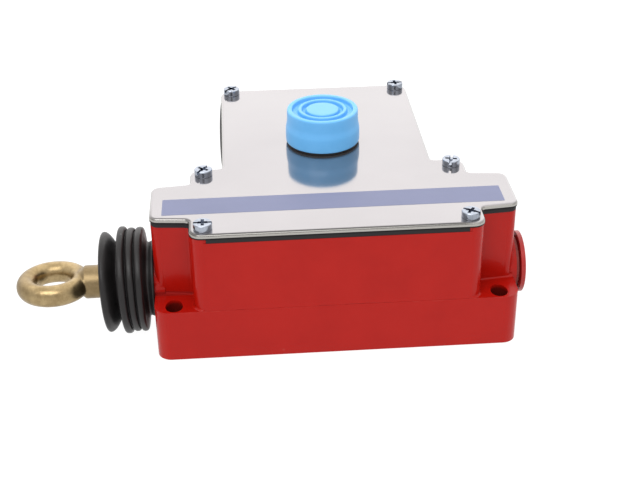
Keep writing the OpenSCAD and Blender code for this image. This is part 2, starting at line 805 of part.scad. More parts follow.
module front_bush() {
    color("peru") difference() {
        on_axis(-wing_end - nose_len, -wing_end + front_bush_in, front_bush_d / 2 - thread_gap);
        on_axis(-wing_end - nose_len - 1, -wing_end + front_bush_in + 1, rod_d / 2 + run_gap);
    }
}

module rear_bush() {
    color("peru") difference() {
        on_axis(bearing_x, bearing_x + bearing_t, rear_bush_d / 2 - thread_gap);
        on_axis(bearing_x - 1, bearing_x + bearing_t + 1, rod_tail_d / 2 + run_gap);
    }
}

module return_spring() {
    color("slategray") translate([spring_start, 0, axis_z]) rotate([0, 90, 0])
        coil_spring(spring_len, spring_r, spring_wire, spring_turns, 8, 16);
}

module spring_seat() {
    color("silver") difference() {
        union() {
            on_axis(spring_end + gap, spring_end + gap + spring_seat_t, spring_seat_d / 2);
            on_axis(spring_end - 4, spring_end + 2 * gap, spring_r - spring_wire / 2 - 0.2);
        }
        on_axis(spring_end - 5, nut_x + 1, rod_tail_d / 2 + run_gap);
    }
}

module rod_nut() {
    color("silver") difference() {
        translate([nut_x, 0, axis_z]) rotate([0, 90, 0])
            cylinder(r = rod_nut_af / sqrt(3), h = rod_nut_t, $fn = 6);
        on_axis(nut_x - 1, nut_x + rod_nut_t + 1, rod_tail_d / 2 + thread_gap);
    }
}

// ---- cam and carrier ----

function ramp_y(x) = cam_offset + cam_slope * x;

module cam_block() {
    back = rod_tail_d / 2 + 3;
    color("dimgray") difference() {
        translate([0, 0, axis_z - cam_h / 2]) linear_extrude(cam_h) polygon([
            [cam_start, -back], [cam_end, -back], [cam_end, ramp_y(cam_end)], [cam_start, ramp_y(cam_start)]
        ]);
        on_axis(cam_start - 1, cam_end + 1, rod_tail_d / 2 + thread_gap);
        cam_pin_hole();
    }
}

module cam_pin() {
    color("silver") translate([cam_pin_x, 0, axis_z]) cylinder(d = cam_pin_d, h = cam_h, center = true);
}

module contact_carrier() {
    slot_z = axis_z - roller_h / 2 - fork_gap;
    color("ivory") difference() {
        union() {
            translate([0, roller_y, carrier_z]) cylinder(r = roller_d / 2 - 0.8, h = carrier_h);
            translate([-carrier_w / 2, roller_y + 0.5, carrier_z])
                cube([carrier_w, carrier_reach - roller_y - 0.5, carrier_h]);
            translate([-crosshead_x, carrier_reach - crosshead_t, carrier_z])
                cube([2 * crosshead_x, crosshead_t, carrier_h - 1]);
        }
        translate([-carrier_w, roller_y - roller_d, slot_z])
            cube([2 * carrier_w, 1.5 * roller_d + 0.4, roller_h + 2 * fork_gap]);
        translate([0, roller_y, carrier_z - 1])
            cylinder(d = roller_pin_d + 2 * thread_gap, h = carrier_h + 2);
        translate([-carrier_w, nose_y - cam_slope * pull_travel, carrier_top]) rotate([45, 0, 0])
            translate([0, -1.3, -1.3]) cube([2 * carrier_w, 2.6, 2.6]);
    }
}

module cam_roller() {
    color("silver") translate([0, roller_y, axis_z]) difference() {
        cylinder(d = roller_d, h = roller_h, center = true);
        cylinder(d = roller_pin_d + 2 * run_gap, h = roller_h + 2, center = true);
    }
}

module roller_pin() {
    color("gray") translate([0, roller_y, carrier_z]) cylinder(d = roller_pin_d, h = carrier_h);
}

// ---- bracket and latch ----

// Side view of a bracket cheek, Y to the right and Z upwards
module cheek2d() {
    translate([bracket_front, seat_height]) square([bracket_len, carrier_top - seat_height + lip_t + gap]);
    translate([bracket_front, seat_height]) square([roof_len + 1, roof_z + roof_t - seat_height]);
    translate([latch_y - latch_hub_r, carrier_top]) square([2 * latch_hub_r, latch_z - carrier_top]);
    translate([latch_y, latch_z]) circle(latch_hub_r);
}

// Stands a side view drawn in Y and Z across X, from x0 to x1
module across(x0, x1) {
    translate([x0, 0, 0]) rotate([90, 0, 90]) linear_extrude(x1 - x0) children();
}

module mechanism_bracket() {
    foot_w = foot_screw_x + seat_r;
    color("darkslategray") difference() {
        union() {
            for (m = [0, 1]) mirror([m, 0, 0]) {
                across(cheek_in, cheek_out) cheek2d();
                translate([cheek_in, bracket_front, seat_height])
                    cube([foot_w - cheek_in, bracket_len, foot_t]);
                translate([cheek_in - lip_w, bracket_back - lip_len, carrier_top + gap])
                    cube([lip_w + gap, lip_len, lip_t]);
            }
            translate([-cheek_out, bracket_front, web_top - web_t]) cube([2 * cheek_out, bracket_len, web_t]);
            translate([-cheek_out, bracket_front, roof_z]) cube([2 * cheek_out, roof_len, roof_t]);
            translate([0, nose_y, roof_z - 1.5]) cylinder(r = latch_spring_r - 0.6, h = 2);
        }
        across(-2 * cheek_out, 2 * cheek_out) translate([latch_y, latch_z])
            circle(d = latch_pin_d + 2 * thread_gap);
        for (p = foot_screws_at) translate([p[0], p[1], seat_height - 1])
            cylinder(d = seat_screw_d + 0.4, h = foot_t + 2);
    }
}

module bracket_screws() {
    color("silver") for (p = foot_screws_at) translate([p[0], p[1], seat_height + foot_t]) difference() {
        screw(seat_screw_d, foot_t + seat_screw_reach, seat_screw_head_d, seat_screw_head_h);
        slot_cut(seat_screw_head_d + 1, 0.8, 1, seat_screw_head_h);
    }
}

module latch_lever() {
    color("silver") difference() {
        union() {
            across(run_side - cheek_in, cheek_in - run_side)
                translate([latch_y, latch_z]) circle(latch_hub_r);
            across(-latch_w / 2, latch_w / 2) {
                link2d([latch_y, latch_z], latch_hub_r, [button_y, latch_z], latch_tip_r, latch_arm_w);
                translate([nose_y - latch_pad_over, latch_pad_z - latch_arm_w])
                    square([latch_hub_r, latch_arm_w]);
                translate([nose_y, latch_pad_z - latch_arm_w])
                    square([latch_y - nose_y, latch_arm_w]);
                translate([nose_y - latch_nose_r, nose_z])
                    square([2 * latch_nose_r, latch_pad_z - nose_z]);
                translate([nose_y, nose_z]) circle(latch_nose_r);
            }
        }
        across(-cheek_in, cheek_in) translate([latch_y, latch_z]) circle(d = latch_pin_d + 2 * run_gap);
    }
}

module latch_pin() {
    color("gray") {
        across(-cheek_out - 1.2, cheek_out + 0.6) translate([latch_y, latch_z]) circle(d = latch_pin_d);
        across(-cheek_out - 1.3, -cheek_out - gap) translate([latch_y, latch_z]) circle(d = latch_pin_d + 2);
    }
}

module latch_spring() {
    color("slategray") translate([0, nose_y, latch_pad_z + gap])
        coil_spring(roof_z - latch_pad_z - 2 * gap, latch_spring_r, latch_spring_wire, 6, 6, 12);
}

// ---- contact blocks ----

// One contact block, seen from its own middle and front
module contact_block() {
    tower = contact_len - 2 * step_len;
    difference() {
        union() {
            translate([-contact_w / 2, 0, 0]) cube([contact_w, contact_len, contact_h - step_drop]);
            translate([-contact_w / 2, step_len, gap]) cube([contact_w, tower, contact_h - gap]);
            for (y = [0, contact_len - step_len]) translate([-0.8, y, gap])
                cube([1.6, step_len, contact_h - step_drop + 2]);
        }
        for (t = [-1, 1], y = [0, contact_len - step_len]) translate([
            t * terminal_pitch / 2 - clamp_size / 2 - gap,
            y + (y == 0 ? -1 : (step_len - clamp_size) / 2 - gap),
            clamp_z - seat_height - gap
        ]) cube([clamp_size + 2 * gap, (step_len + clamp_size) / 2 + 1 + gap, contact_h]);
        for (t = [-1, 1], y = [step_len / 2, contact_len - step_len / 2])
            translate([t * terminal_pitch / 2, y, clamp_z - seat_height - terminal_len])
                cylinder(d = terminal_screw_d + 2 * thread_gap, h = terminal_len + 1);
        translate([0, -1, plunger_z - seat_height]) rotate([-90, 0, 0])
            cylinder(d = plunger_d + 2 * run_gap, h = plunger_bore + 1);
        for (o = block_screw_offset) translate([o[0], o[1], -1])
            cylinder(d = seat_screw_d + 0.2, h = contact_h + 2);
    }
}

module contact_block_left() {
    color("#33363a") translate([-block_x, contact_front, seat_height]) contact_block();
}

module contact_block_right() {
    color("#33363a") translate([block_x, contact_front, seat_height]) contact_block();
}

module block_screws() {
    color("silver") for (p = block_screws_at) translate([p[0], p[1], seat_height + contact_h]) difference() {
        screw(seat_screw_d, contact_h + seat_screw_reach, seat_screw_head_d, seat_screw_head_h);
        slot_cut(seat_screw_head_d + 1, 0.8, 1, seat_screw_head_h);
    }
}

module contact_plungers() {
    color("white") for (s = [-1, 1]) translate([s * block_x, plunger_tip_y, plunger_z])
        rotate([-90, 0, 0]) cylinder(d = plunger_d, h = plunger_len);
}

module plunger_springs() {
    start = plunger_tip_y + plunger_len + gap;
    len = contact_front + plunger_bore - start - gap;
    color("slategray") for (s = [-1, 1]) translate([s * block_x, start, plunger_z])
        rotate([-90, 0, 0]) coil_spring(len, plunger_d / 2 - plunger_wire, plunger_wire, 8, 6, 12);
}

module terminal_clamps() {
    color("goldenrod") for (p = terminals_at) translate([p[0], p[1], clamp_z]) difference() {
        translate([-clamp_size / 2, -clamp_size / 2, 0]) cube([clamp_size, clamp_size, clamp_t]);
        translate([0, 0, -1]) cylinder(d = terminal_screw_d + 0.2, h = clamp_t + 2);
    }
}

module terminal_screws() {
    color("silver") for (p = terminals_at) translate([p[0], p[1], clamp_z + clamp_t]) difference() {
        screw(terminal_screw_d, clamp_t + terminal_len - 0.5, terminal_head_d, terminal_head_h);
        slot_cut(terminal_head_d + 1, 0.8, 1, terminal_head_h);
    }
}

module earth_clamp() {
    color("goldenrod") translate([0, earth_y, earth_seat_z]) difference() {
        cylinder(d = earth_clamp_d, h = earth_clamp_t);
        translate([0, 0, -1]) cylinder(d = earth_screw_d + 0.3, h = earth_clamp_t + 2);
    }
}

module earth_screw() {
    color("silver") translate([0, earth_y, earth_seat_z + earth_clamp_t]) difference() {
        screw(earth_screw_d, earth_clamp_t + earth_len - 1, earth_head_d, 2.4);
        slot_cut(earth_head_d + 1, 1, 1.2, 2.4);
    }
}

// ---- reset button ----

module ring_seal() {
    color("#1d1d20") translate([0, button_y, cover_top]) difference() {
        cylinder(d = seal_d, h = seal_h);
        translate([0, 0, -1]) cylinder(d = bushing_d + 0.6, h = seal_h + 2);
    }
}

module button_bushing() {
    color("#3a3a3e") translate([0, button_y, 0]) difference() {
        union() {
            translate([0, 0, bushing_z]) cylinder(d = bushing_d, h = flange_z - bushing_z + gap);
            translate([0, 0, flange_z]) cylinder(d = flange_d, h = flange_t);
        }
        translate([0, 0, bushing_z - 1]) cylinder(d = stem_d + 2 * run_gap, h = bushing_floor + 2);
        translate([0, 0, bushing_z + bushing_floor]) cylinder(d = pad_d + 0.6, h = cover_top);
    }
}

module button_nut() {
    color("silver") translate([0, button_y, cover_z - button_nut_t - gap]) difference() {
        cylinder(r = button_nut_af / sqrt(3), h = button_nut_t, $fn = 6);
        translate([0, 0, -1]) cylinder(d = bushing_d + 2 * thread_gap, h = button_nut_t + 2);
    }
}

module reset_plunger() {
    color("#d8d8d4") translate([0, button_y, 0]) difference() {
        union() {
            translate([0, 0, stem_foot]) cylinder(d = stem_nose_d, h = stem_nose_len + gap);
            translate([0, 0, stem_foot + stem_nose_len])
                cylinder(d = stem_d, h = pad_z - stem_foot - stem_nose_len + gap);
            translate([0, 0, pad_z]) cylinder(d = pad_d, h = pad_t);
        }
        translate([0, 0, clip_z - gap]) difference() {
            cylinder(d = stem_d + 1, h = clip_t + 2 * gap);
            cylinder(r = stem_groove_r, h = clip_t + 2 * gap);
        }
    }
}

module stem_clip() {
    color("gray") translate([0, button_y, clip_z]) difference() {
        cylinder(r = stem_d / 2 + 2, h = clip_t);
        translate([0, 0, -1]) cylinder(r = stem_groove_r + thread_gap, h = clip_t + 2);
        translate([-1.5, 0, -1]) cube([3, stem_d, clip_t + 2]);
    }
}

module reset_spring() {
    start = bushing_z + bushing_floor + gap;
    color("slategray") translate([0, button_y, start])
        coil_spring(pad_z - start - gap, reset_spring_r, reset_wire, 6, 6, 14);
}

// Half section of the boot, radius to the right and height above the cover upwards
module boot2d() {
    edge = 1.4;
    lip = bushing_d / 2 + 0.3;
    difference() {
        union() {
            polygon([
                [lip, seal_h], [seal_d / 2, seal_h], [boot_r, seal_h + 4.3],
                [boot_top_r, boot_h - edge], [boot_top_r - edge, boot_h], [0, boot_h], [0, boot_h - 4],
                [lip, boot_h - 4]
            ]);
            translate([boot_top_r - edge, boot_h - edge]) circle(edge);
        }
        translate([0, -1]) square([lip, seal_h + 2]);
        translate([0, seal_h + boot_lip_t]) square([flange_d / 2 + 2 * gap, flange_t + 3 * gap]);
        polygon([
            [0, seal_h + boot_lip_t], [flange_d / 2, seal_h + boot_lip_t],
            [boot_r - boot_wall, seal_h + 4.3],
            [boot_top_r - boot_wall, boot_h - groove_depth - boot_top_t],
            [0, boot_h - groove_depth - boot_top_t]
        ]);
        translate([10, boot_h - groove_depth]) square([2, 2]);
        translate([6.7, boot_h - groove_depth]) square([2.1, 2]);
        translate([-1, boot_h - groove_depth / 3]) square([11.5, 2]);
    }
}

module reset_boot() {
    color("deepskyblue") translate([0, button_y, cover_top]) rotate_extrude() boot2d();
}

// ---- blanking plugs ----

// A plug with the face of its seal on Z = 0 and its flange above
module blanking_plug() {
    difference() {
        union() {
            translate([0, 0, plug_seal_t]) cylinder(d = plug_d, h = plug_t);
            translate([0, 0, 0.4 - plug_thread])
                cylinder(d = entry_d - 2 * thread_gap, h = plug_thread + plug_seal_t);
        }
        slot_cut(plug_d * 0.7, 2.4, 1.2, plug_seal_t + plug_t);
        translate([0, 0, -plug_thread - 1]) cylinder(d = entry_d - 5, h = plug_thread + 0.6);
    }
}

module plug_seal() {
    difference() {
        cylinder(d = plug_seal_d, h = plug_seal_t);
        translate([0, 0, -1]) cylinder(d = entry_d + 0.2, h = plug_seal_t + 2);
    }
}

// Places a child, drawn with its axis along Z, on each side entry of the leg
module at_side_entries() {
    for (s = [-1, 1]) translate([s * side_wall, side_entry_y, entry_z]) rotate([0, 90 * s, 0]) children();
}

module at_outlet() {
    translate([outlet_end, 0, axis_z]) rotate([0, 90, 0]) children();
}

module end_plug() {
    color("firebrick") at_outlet() blanking_plug();
}

module side_plugs() {
    color("firebrick") at_side_entries() blanking_plug();
}

module plug_seals() {
    color("#1d1d20") {
        at_outlet() plug_seal();
        at_side_entries() plug_seal();
    }
}

housing();
cover_gasket();
cover_plate();
cover_screws();
eyebolt();
pull_rod();
bellows();
front_bush();
rear_bush();
return_spring();
spring_seat();
rod_nut();
cam_block();
cam_pin();
contact_carrier();
cam_roller();
roller_pin();
mechanism_bracket();
bracket_screws();
latch_lever();
latch_pin();
latch_spring();
contact_block_left();
contact_block_right();
block_screws();
contact_plungers();
plunger_springs();
terminal_clamps();
terminal_screws();
earth_clamp();
earth_screw();
ring_seal();
button_bushing();
button_nut();
reset_plunger();
stem_clip();
reset_spring();
reset_boot();
end_plug();
side_plugs();
plug_seals();
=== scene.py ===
import math
import bpy
import bmesh
from mathutils import Matrix, Vector


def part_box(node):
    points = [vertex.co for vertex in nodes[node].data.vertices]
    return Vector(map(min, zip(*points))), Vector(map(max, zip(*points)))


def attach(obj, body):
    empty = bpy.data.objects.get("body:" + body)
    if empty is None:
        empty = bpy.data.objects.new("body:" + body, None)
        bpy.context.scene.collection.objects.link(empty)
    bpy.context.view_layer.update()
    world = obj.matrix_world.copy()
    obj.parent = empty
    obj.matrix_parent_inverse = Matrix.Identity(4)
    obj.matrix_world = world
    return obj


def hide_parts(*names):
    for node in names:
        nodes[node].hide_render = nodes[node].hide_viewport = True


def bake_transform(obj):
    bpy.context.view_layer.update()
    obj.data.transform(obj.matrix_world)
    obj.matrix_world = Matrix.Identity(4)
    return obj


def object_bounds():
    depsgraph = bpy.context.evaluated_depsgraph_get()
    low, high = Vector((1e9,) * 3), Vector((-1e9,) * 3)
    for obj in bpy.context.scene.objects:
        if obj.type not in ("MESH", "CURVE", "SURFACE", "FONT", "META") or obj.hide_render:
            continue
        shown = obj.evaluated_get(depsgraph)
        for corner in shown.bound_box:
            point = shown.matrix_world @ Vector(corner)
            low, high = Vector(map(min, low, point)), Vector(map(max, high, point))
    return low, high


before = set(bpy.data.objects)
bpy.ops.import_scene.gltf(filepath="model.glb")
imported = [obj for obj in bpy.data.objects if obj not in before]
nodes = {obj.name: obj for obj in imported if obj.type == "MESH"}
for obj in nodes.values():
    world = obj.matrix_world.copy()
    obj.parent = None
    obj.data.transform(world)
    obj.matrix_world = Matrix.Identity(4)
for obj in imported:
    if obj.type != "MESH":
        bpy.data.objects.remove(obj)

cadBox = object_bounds()
mm = 0.001

# places on the switch that several pieces share
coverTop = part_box("cover_plate")[1].z
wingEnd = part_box("housing")[0].x + 4 * mm
buttonY = (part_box("reset_boot")[0].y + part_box("reset_boot")[1].y) / 2
axisZ = (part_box("bellows")[0].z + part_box("bellows")[1].z) / 2
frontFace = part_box("housing")[0].y
baseTop = 21.1 * mm
holeX, holeY = 61.5 * mm, 22.25 * mm
print("frame loaded,", len(nodes), "nodes")

# ---- camera and studio ----

cameraSet = {
    "eye": (-33.767, -400.748, 267.006),
    "target": (-3.979, 14.069, 25.979),
    "roll": -0.6,
    "lens": 67.45,
}


def makeCamera(settings):
    data = bpy.data.cameras.new("productCamera")
    data.lens = settings["lens"]
    data.sensor_width = 36
    data.clip_start, data.clip_end = 0.01, 20
    camera = bpy.data.objects.new("productCamera", data)
    eye = Vector(settings["eye"]) * mm
    aim = Vector(settings["target"]) * mm - eye
    turn = aim.to_track_quat("-Z", "Y").to_matrix().to_4x4()
    roll = Matrix.Rotation(math.radians(settings["roll"]), 4, "Z")
    camera.matrix_world = Matrix.Translation(eye) @ turn @ roll
    bpy.context.scene.collection.objects.link(camera)
    bpy.context.scene.camera = camera


studioSet = {
    "skyColour": (1.0, 0.985, 0.98),
    "frontPower": 1.21, "backPower": 1.98, "depthSpan": (-0.5, 0.75),
    "darkSpread": 0.036, "darkCore": 0.0144, "darkPower": 0.06, "sideSpan": (0.5, 0.92), "sidePower": 0.55,
    "keyPower": 6.0, "keyPlace": (-0.25, -0.62, 0.95), "keySize": (0.9, 0.6),
    "floorSize": 12.0,
    "floorDrop": 0.6,
}


def makeStudio(settings):
    world = bpy.data.worlds.new("paleStudio")
    world.use_nodes = True
    tree = world.node_tree
    sky = tree.nodes["Background"]
    sky.inputs["Color"].default_value = (*settings["skyColour"], 1)
    # the studio is brighter behind the switch than in front of it
    where = addNode(tree, "TexCoord").outputs["Generated"]
    way = addNode(tree, "SeparateXYZ", {"Vector": where})
    power = stretch(tree, way.outputs["Y"], *settings["depthSpan"],
                    settings["frontPower"], settings["backPower"])
    # a dark patch behind the camera
    toCamera = (Vector(cameraSet["eye"]) - Vector(cameraSet["target"])).normalized()
    near = addNode(tree, "VectorMath", {0: where, 1: toCamera}, operation="DOT_PRODUCT").outputs["Value"]
    patch = stretch(tree, near, 1 - settings["darkSpread"], 1 - settings["darkCore"],
                    1.0, settings["darkPower"])
    # darker to the left and right
    sideways = mathNode(tree, "ABSOLUTE", way.outputs["X"])
    aside = stretch(tree, sideways, *settings["sideSpan"], 1.0, settings["sidePower"])
    tree.links.new(product(tree, power, aside, patch), sky.inputs["Strength"])
    bpy.context.scene.world = world
    lamp = bpy.data.lights.new("softKey", "AREA")
    lamp.energy = settings["keyPower"]
    lamp.shape = "RECTANGLE"
    lamp.size, lamp.size_y = settings["keySize"]
    key = bpy.data.objects.new("softKey", lamp)
    stand = Vector(settings["keyPlace"])
    key.matrix_world = Matrix.Translation(stand) @ (-stand).to_track_quat("-Z", "Y").to_matrix().to_4x4()
    bpy.context.scene.collection.objects.link(key)
    bm = bmesh.new()
    bmesh.ops.create_grid(bm, x_segments=4, y_segments=4, size=settings["floorSize"] / 2)
    bmesh.ops.translate(bm, verts=bm.verts, vec=(0, 0, cadBox[0].z - settings["floorDrop"] * mm))
    floor = newPiece("studioFloor", bm)
    return floor


# ---- mesh helpers ----

def newPiece(name, bm):
    mesh = bpy.data.meshes.new(name)
    bm.to_mesh(mesh)
    bm.free()
    piece = bpy.data.objects.new(name, mesh)
    bpy.context.scene.collection.objects.link(piece)
    return piece


def smoothShade(bm, angle=35):
    limit = math.radians(angle)
    for face in bm.faces:
        face.smooth = True
    for edge in bm.edges:
        edge.smooth = len(edge.link_faces) == 2 and edge.calc_face_angle(0) < limit


def mergedMesh(nodeName, flat=0.6):
    # a CAD node arrives as loose triangles, so its copy is merged and its flats made whole
    bm = bmesh.new()
    bm.from_mesh(nodes[nodeName].data)
    bmesh.ops.remove_doubles(bm, verts=bm.verts, dist=0.001 * mm)
    bmesh.ops.dissolve_degenerate(bm, edges=bm.edges, dist=0.001 * mm)
    bmesh.ops.dissolve_limit(bm, angle_limit=math.radians(flat), verts=bm.verts, edges=bm.edges)
    return bm


def softenEdges(piece, width, segments=2, angle=38):
    bevel = piece.modifiers.new("edgeBevel", "BEVEL")
    bevel.width = width * mm
    bevel.segments = segments
    bevel.limit_method = "ANGLE"
    bevel.angle_limit = math.radians(angle)
    bevel.profile = 0.5
    bevel.harden_normals = True
    weighted = piece.modifiers.new("evenShade", "WEIGHTED_NORMAL")
    weighted.keep_sharp = True


def frozen(piece):
    # the piece with its modifiers applied, as a fresh smooth bmesh
    bpy.context.view_layer.update()
    mesh = bpy.data.meshes.new_from_object(piece.evaluated_get(bpy.context.evaluated_depsgraph_get()))
    bpy.data.objects.remove(piece)
    bm = bmesh.new()
    bm.from_mesh(mesh)
    for face in bm.faces:
        face.smooth = True
    return bm


def subdivide(piece, level):
    smooth = piece.modifiers.new("smoothSkin", "SUBSURF")
    smooth.levels = smooth.render_levels = level


def spunShell(points, steps, centre, axis):
    # points are (radius, height) pairs of a section, turned once round the axis
    axis = Vector(axis).normalized()
    side = Vector((0, 0, 1)).cross(axis) if abs(axis.z) < 0.9 else Vector((1, 0, 0))
    side.normalize()
    bm = bmesh.new()
    ring = [bm.verts.new(Vector(centre) + (side * r + axis * h) * mm) for r, h in points]
    edges = [bm.edges.new(pair) for pair in zip(ring, ring[1:])]
    if points[0][0] > 0 or points[-1][0] > 0:
        edges.append(bm.edges.new((ring[-1], ring[0])))
    bmesh.ops.spin(
        bm, geom=ring + edges, cent=centre, axis=axis, dvec=(0, 0, 0),
        angle=math.tau, steps=steps, use_merge=True, use_duplicate=False,
    )
    bmesh.ops.remove_doubles(bm, verts=bm.verts, dist=0.002 * mm)
    bmesh.ops.recalc_face_normals(bm, faces=bm.faces)
    for face in bm.faces:
        face.smooth = True
    return bm


# ---- shader node groups ----

def newGroup(name, inputs, outputs):
    tree = bpy.data.node_groups.new(name, "ShaderNodeTree")
    for label, value in inputs:
        kind = "NodeSocketVector" if isinstance(value, tuple) and len(value) == 3 else "NodeSocketFloat"
        socket = tree.interface.new_socket(label, in_out="INPUT", socket_type=kind)
        socket.default_value = value
    for label in outputs:
        tree.interface.new_socket(label, in_out="OUTPUT", socket_type="NodeSocketFloat")
    return tree, tree.nodes.new("NodeGroupInput"), tree.nodes.new("NodeGroupOutput")


def addNode(tree, kind, feeds=(), **values):
    node = tree.nodes.new("ShaderNode" + kind)
    for name, value in values.items():
        setattr(node, name, value)
    for label, value in dict(feeds).items():
        socket = node.inputs[label]
        if isinstance(value, bpy.types.NodeSocket):
            tree.links.new(value, socket)
        else:
            socket.default_value = value
    return node


def stretch(tree, value, low, high, outLow=0.0, outHigh=1.0):
    node = addNode(tree, "MapRange", {
        "Value": value, "From Min": low, "From Max": high, "To Min": outLow, "To Max": outHigh,
    })
    node.interpolation_type = "SMOOTHSTEP"
    return node.outputs["Result"]


def band(tree, value, ends, outLow=0.0, outHigh=1.0):
    # the same with its two ends in millimetres
    return stretch(tree, value, ends[0] * mm, ends[1] * mm, outLow, outHigh)


def mathNode(tree, operation, a, b=0.0):
    return addNode(tree, "Math", {0: a, 1: b}, operation=operation).outputs[0]


def product(tree, first, *others):
    for other in others:
        first = mathNode(tree, "MULTIPLY", first, other)
    return first


def distance(tree, value, centre):
    return mathNode(tree, "ABSOLUTE", mathNode(tree, "SUBTRACT", value, centre))


def buildGrain():
    # fine moulded or cast skin: a height and a slow change of tone
    tree, start, end = newGroup("skinGrain", [("Vector", (0.0, 0.0, 0.0)), ("Grain", 900.0), ("Cloud", 40.0)],
                                ["Height", "Tone"])
    fine = addNode(tree, "TexNoise", {"Vector": start.outputs["Vector"], "Scale": start.outputs["Grain"],
                                      "Detail": 3.0, "Roughness": 0.55})
    cloud = addNode(tree, "TexNoise", {"Vector": start.outputs["Vector"], "Scale": start.outputs["Cloud"],
                                       "Detail": 4.0, "Roughness": 0.6})
    tree.links.new(fine.outputs["Fac"], end.inputs["Height"])
    tree.links.new(stretch(tree, cloud.outputs["Fac"], 0.3, 0.7), end.inputs["Tone"])
    return tree


def buildRipple():
    # the slow wave of sprayed paint or rolled sheet
    tree, start, end = newGroup("paintRipple", [("Vector", (0.0, 0.0, 0.0)), ("Scale", 160.0), ("Sag", 22.0)],
                                ["Height", "Tone"])
    peel = addNode(tree, "TexVoronoi", {"Vector": start.outputs["Vector"], "Scale": start.outputs["Scale"],
                                        "Smoothness": 1.0}, feature="SMOOTH_F1")
    sag = addNode(tree, "TexNoise", {"Vector": start.outputs["Vector"], "Scale": start.outputs["Sag"],
                                     "Detail": 2.0})
    low = mathNode(tree, "MULTIPLY", peel.outputs["Distance"], 0.35)
    height = mathNode(tree, "ADD", low, sag.outputs["Fac"])
    tree.links.new(height, end.inputs["Height"])
    tree.links.new(stretch(tree, sag.outputs["Fac"], 0.3, 0.7), end.inputs["Tone"])
    return tree


def buildStreaks():
    # lines along one direction, as drawing, turning or rolling leaves them
    tree, start, end = newGroup("drawnLines", [("Vector", (0.0, 0.0, 0.0)), ("Stretch", (4.0, 900.0, 900.0))],
                                ["Height", "Tone"])
    pull = addNode(tree, "VectorMath", {0: start.outputs["Vector"], 1: start.outputs["Stretch"]},
                   operation="MULTIPLY")
    lines = addNode(tree, "TexNoise", {"Vector": pull.outputs[0], "Scale": 1.0, "Detail": 4.0,
                                       "Roughness": 0.7})
    tree.links.new(lines.outputs["Fac"], end.inputs["Height"])
    tree.links.new(stretch(tree, lines.outputs["Fac"], 0.35, 0.65), end.inputs["Tone"])
    return tree


def buildSpecks():
    # scattered dots of dust, more of them on faces that look up
    tree, start, end = newGroup("dustSpecks", [("Vector", (0.0, 0.0, 0.0)), ("Scale", 350.0), ("Share", 0.1)],
                                ["Mask"])
    cells = addNode(tree, "TexVoronoi", {"Vector": start.outputs["Vector"], "Scale": start.outputs["Scale"],
                                         "Randomness": 1.0})
    pick = addNode(tree, "SeparateColor", {"Color": cells.outputs["Color"]})
    chosen = mathNode(tree, "LESS_THAN", pick.outputs[0], start.outputs["Share"])
    dot = mathNode(tree, "LESS_THAN", cells.outputs["Distance"], 0.16)
    up = addNode(tree, "SeparateXYZ", {"Vector": addNode(tree, "NewGeometry").outputs["Normal"]})
    facing = stretch(tree, up.outputs["Z"], -0.5, 1.0, 0.25, 1.0)
    tree.links.new(product(tree, chosen, dot, facing), end.inputs["Mask"])
    return tree


def buildScuffs():
    # short hair scratches that cross each other
    tree, start, end = newGroup("hairScuffs", [("Vector", (0.0, 0.0, 0.0)), ("Scale", 60.0), ("Share", 0.5)],
                                ["Mask"])
    total = None
    for turn, shift in ((0.35, 3.0), (1.9, 11.0)):
        spun = addNode(tree, "Mapping", {"Vector": start.outputs["Vector"], "Location": (shift, shift, 0.0),
                                         "Rotation": (turn, turn * 0.6, turn), "Scale": (1.0, 26.0, 26.0)})
        field = addNode(tree, "TexNoise", {"Vector": spun.outputs[0], "Scale": start.outputs["Scale"],
                                           "Detail": 1.0})
        line = stretch(tree, field.outputs["Fac"], 0.72, 0.78)
        total = line if total is None else mathNode(tree, "MAXIMUM", total, line)
    gate = addNode(tree, "TexNoise", {"Vector": start.outputs["Vector"], "Scale": 90.0})
    shown = mathNode(tree, "LESS_THAN", gate.outputs["Fac"], start.outputs["Share"])
    tree.links.new(mathNode(tree, "MULTIPLY", total, shown), end.inputs["Mask"])
    return tree


grainGroup = buildGrain()
rippleGroup = buildRipple()
streakGroup = buildStreaks()
speckGroup = buildSpecks()
scuffGroup = buildScuffs()


def place(tree, group, where, **values):
    node = tree.nodes.new("ShaderNodeGroup")
    node.node_tree = group
    tree.links.new(where, node.inputs["Vector"])
    for label, value in values.items():
        node.inputs[label].default_value = value
    return node


def newMaterial(name, settings):
    material = bpy.data.materials.new(name)
    material.use_nodes = True
    shader = material.node_tree.nodes["Principled BSDF"]
    for label, value in settings.items():
        shader.inputs[label].default_value = value
    return material, material.node_tree, shader


def tint(tree, factor, dark, light):
    ramp = addNode(tree, "Mix", {"Factor": factor}, data_type="RGBA")
    ramp.inputs[6].default_value = (*dark, 1)
    ramp.inputs[7].default_value = (*light, 1)
    return ramp.outputs[2]


def layer(tree, factor, base, colour):
    mix = addNode(tree, "Mix", {"Factor": factor}, data_type="RGBA")
    tree.links.new(base, mix.inputs[6])
    mix.inputs[7].default_value = (*colour, 1)
    return mix.outputs[2]


def addBump(tree, shader, height, distance, strength=1.0):
    bump = addNode(tree, "Bump", {"Height": height, "Distance": distance * mm, "Strength": strength})
    tree.links.new(bump.outputs["Normal"], shader.inputs["Normal"])


def objectPlace(tree):
    return addNode(tree, "TexCoord").outputs["Object"]


# ---- finishes ----

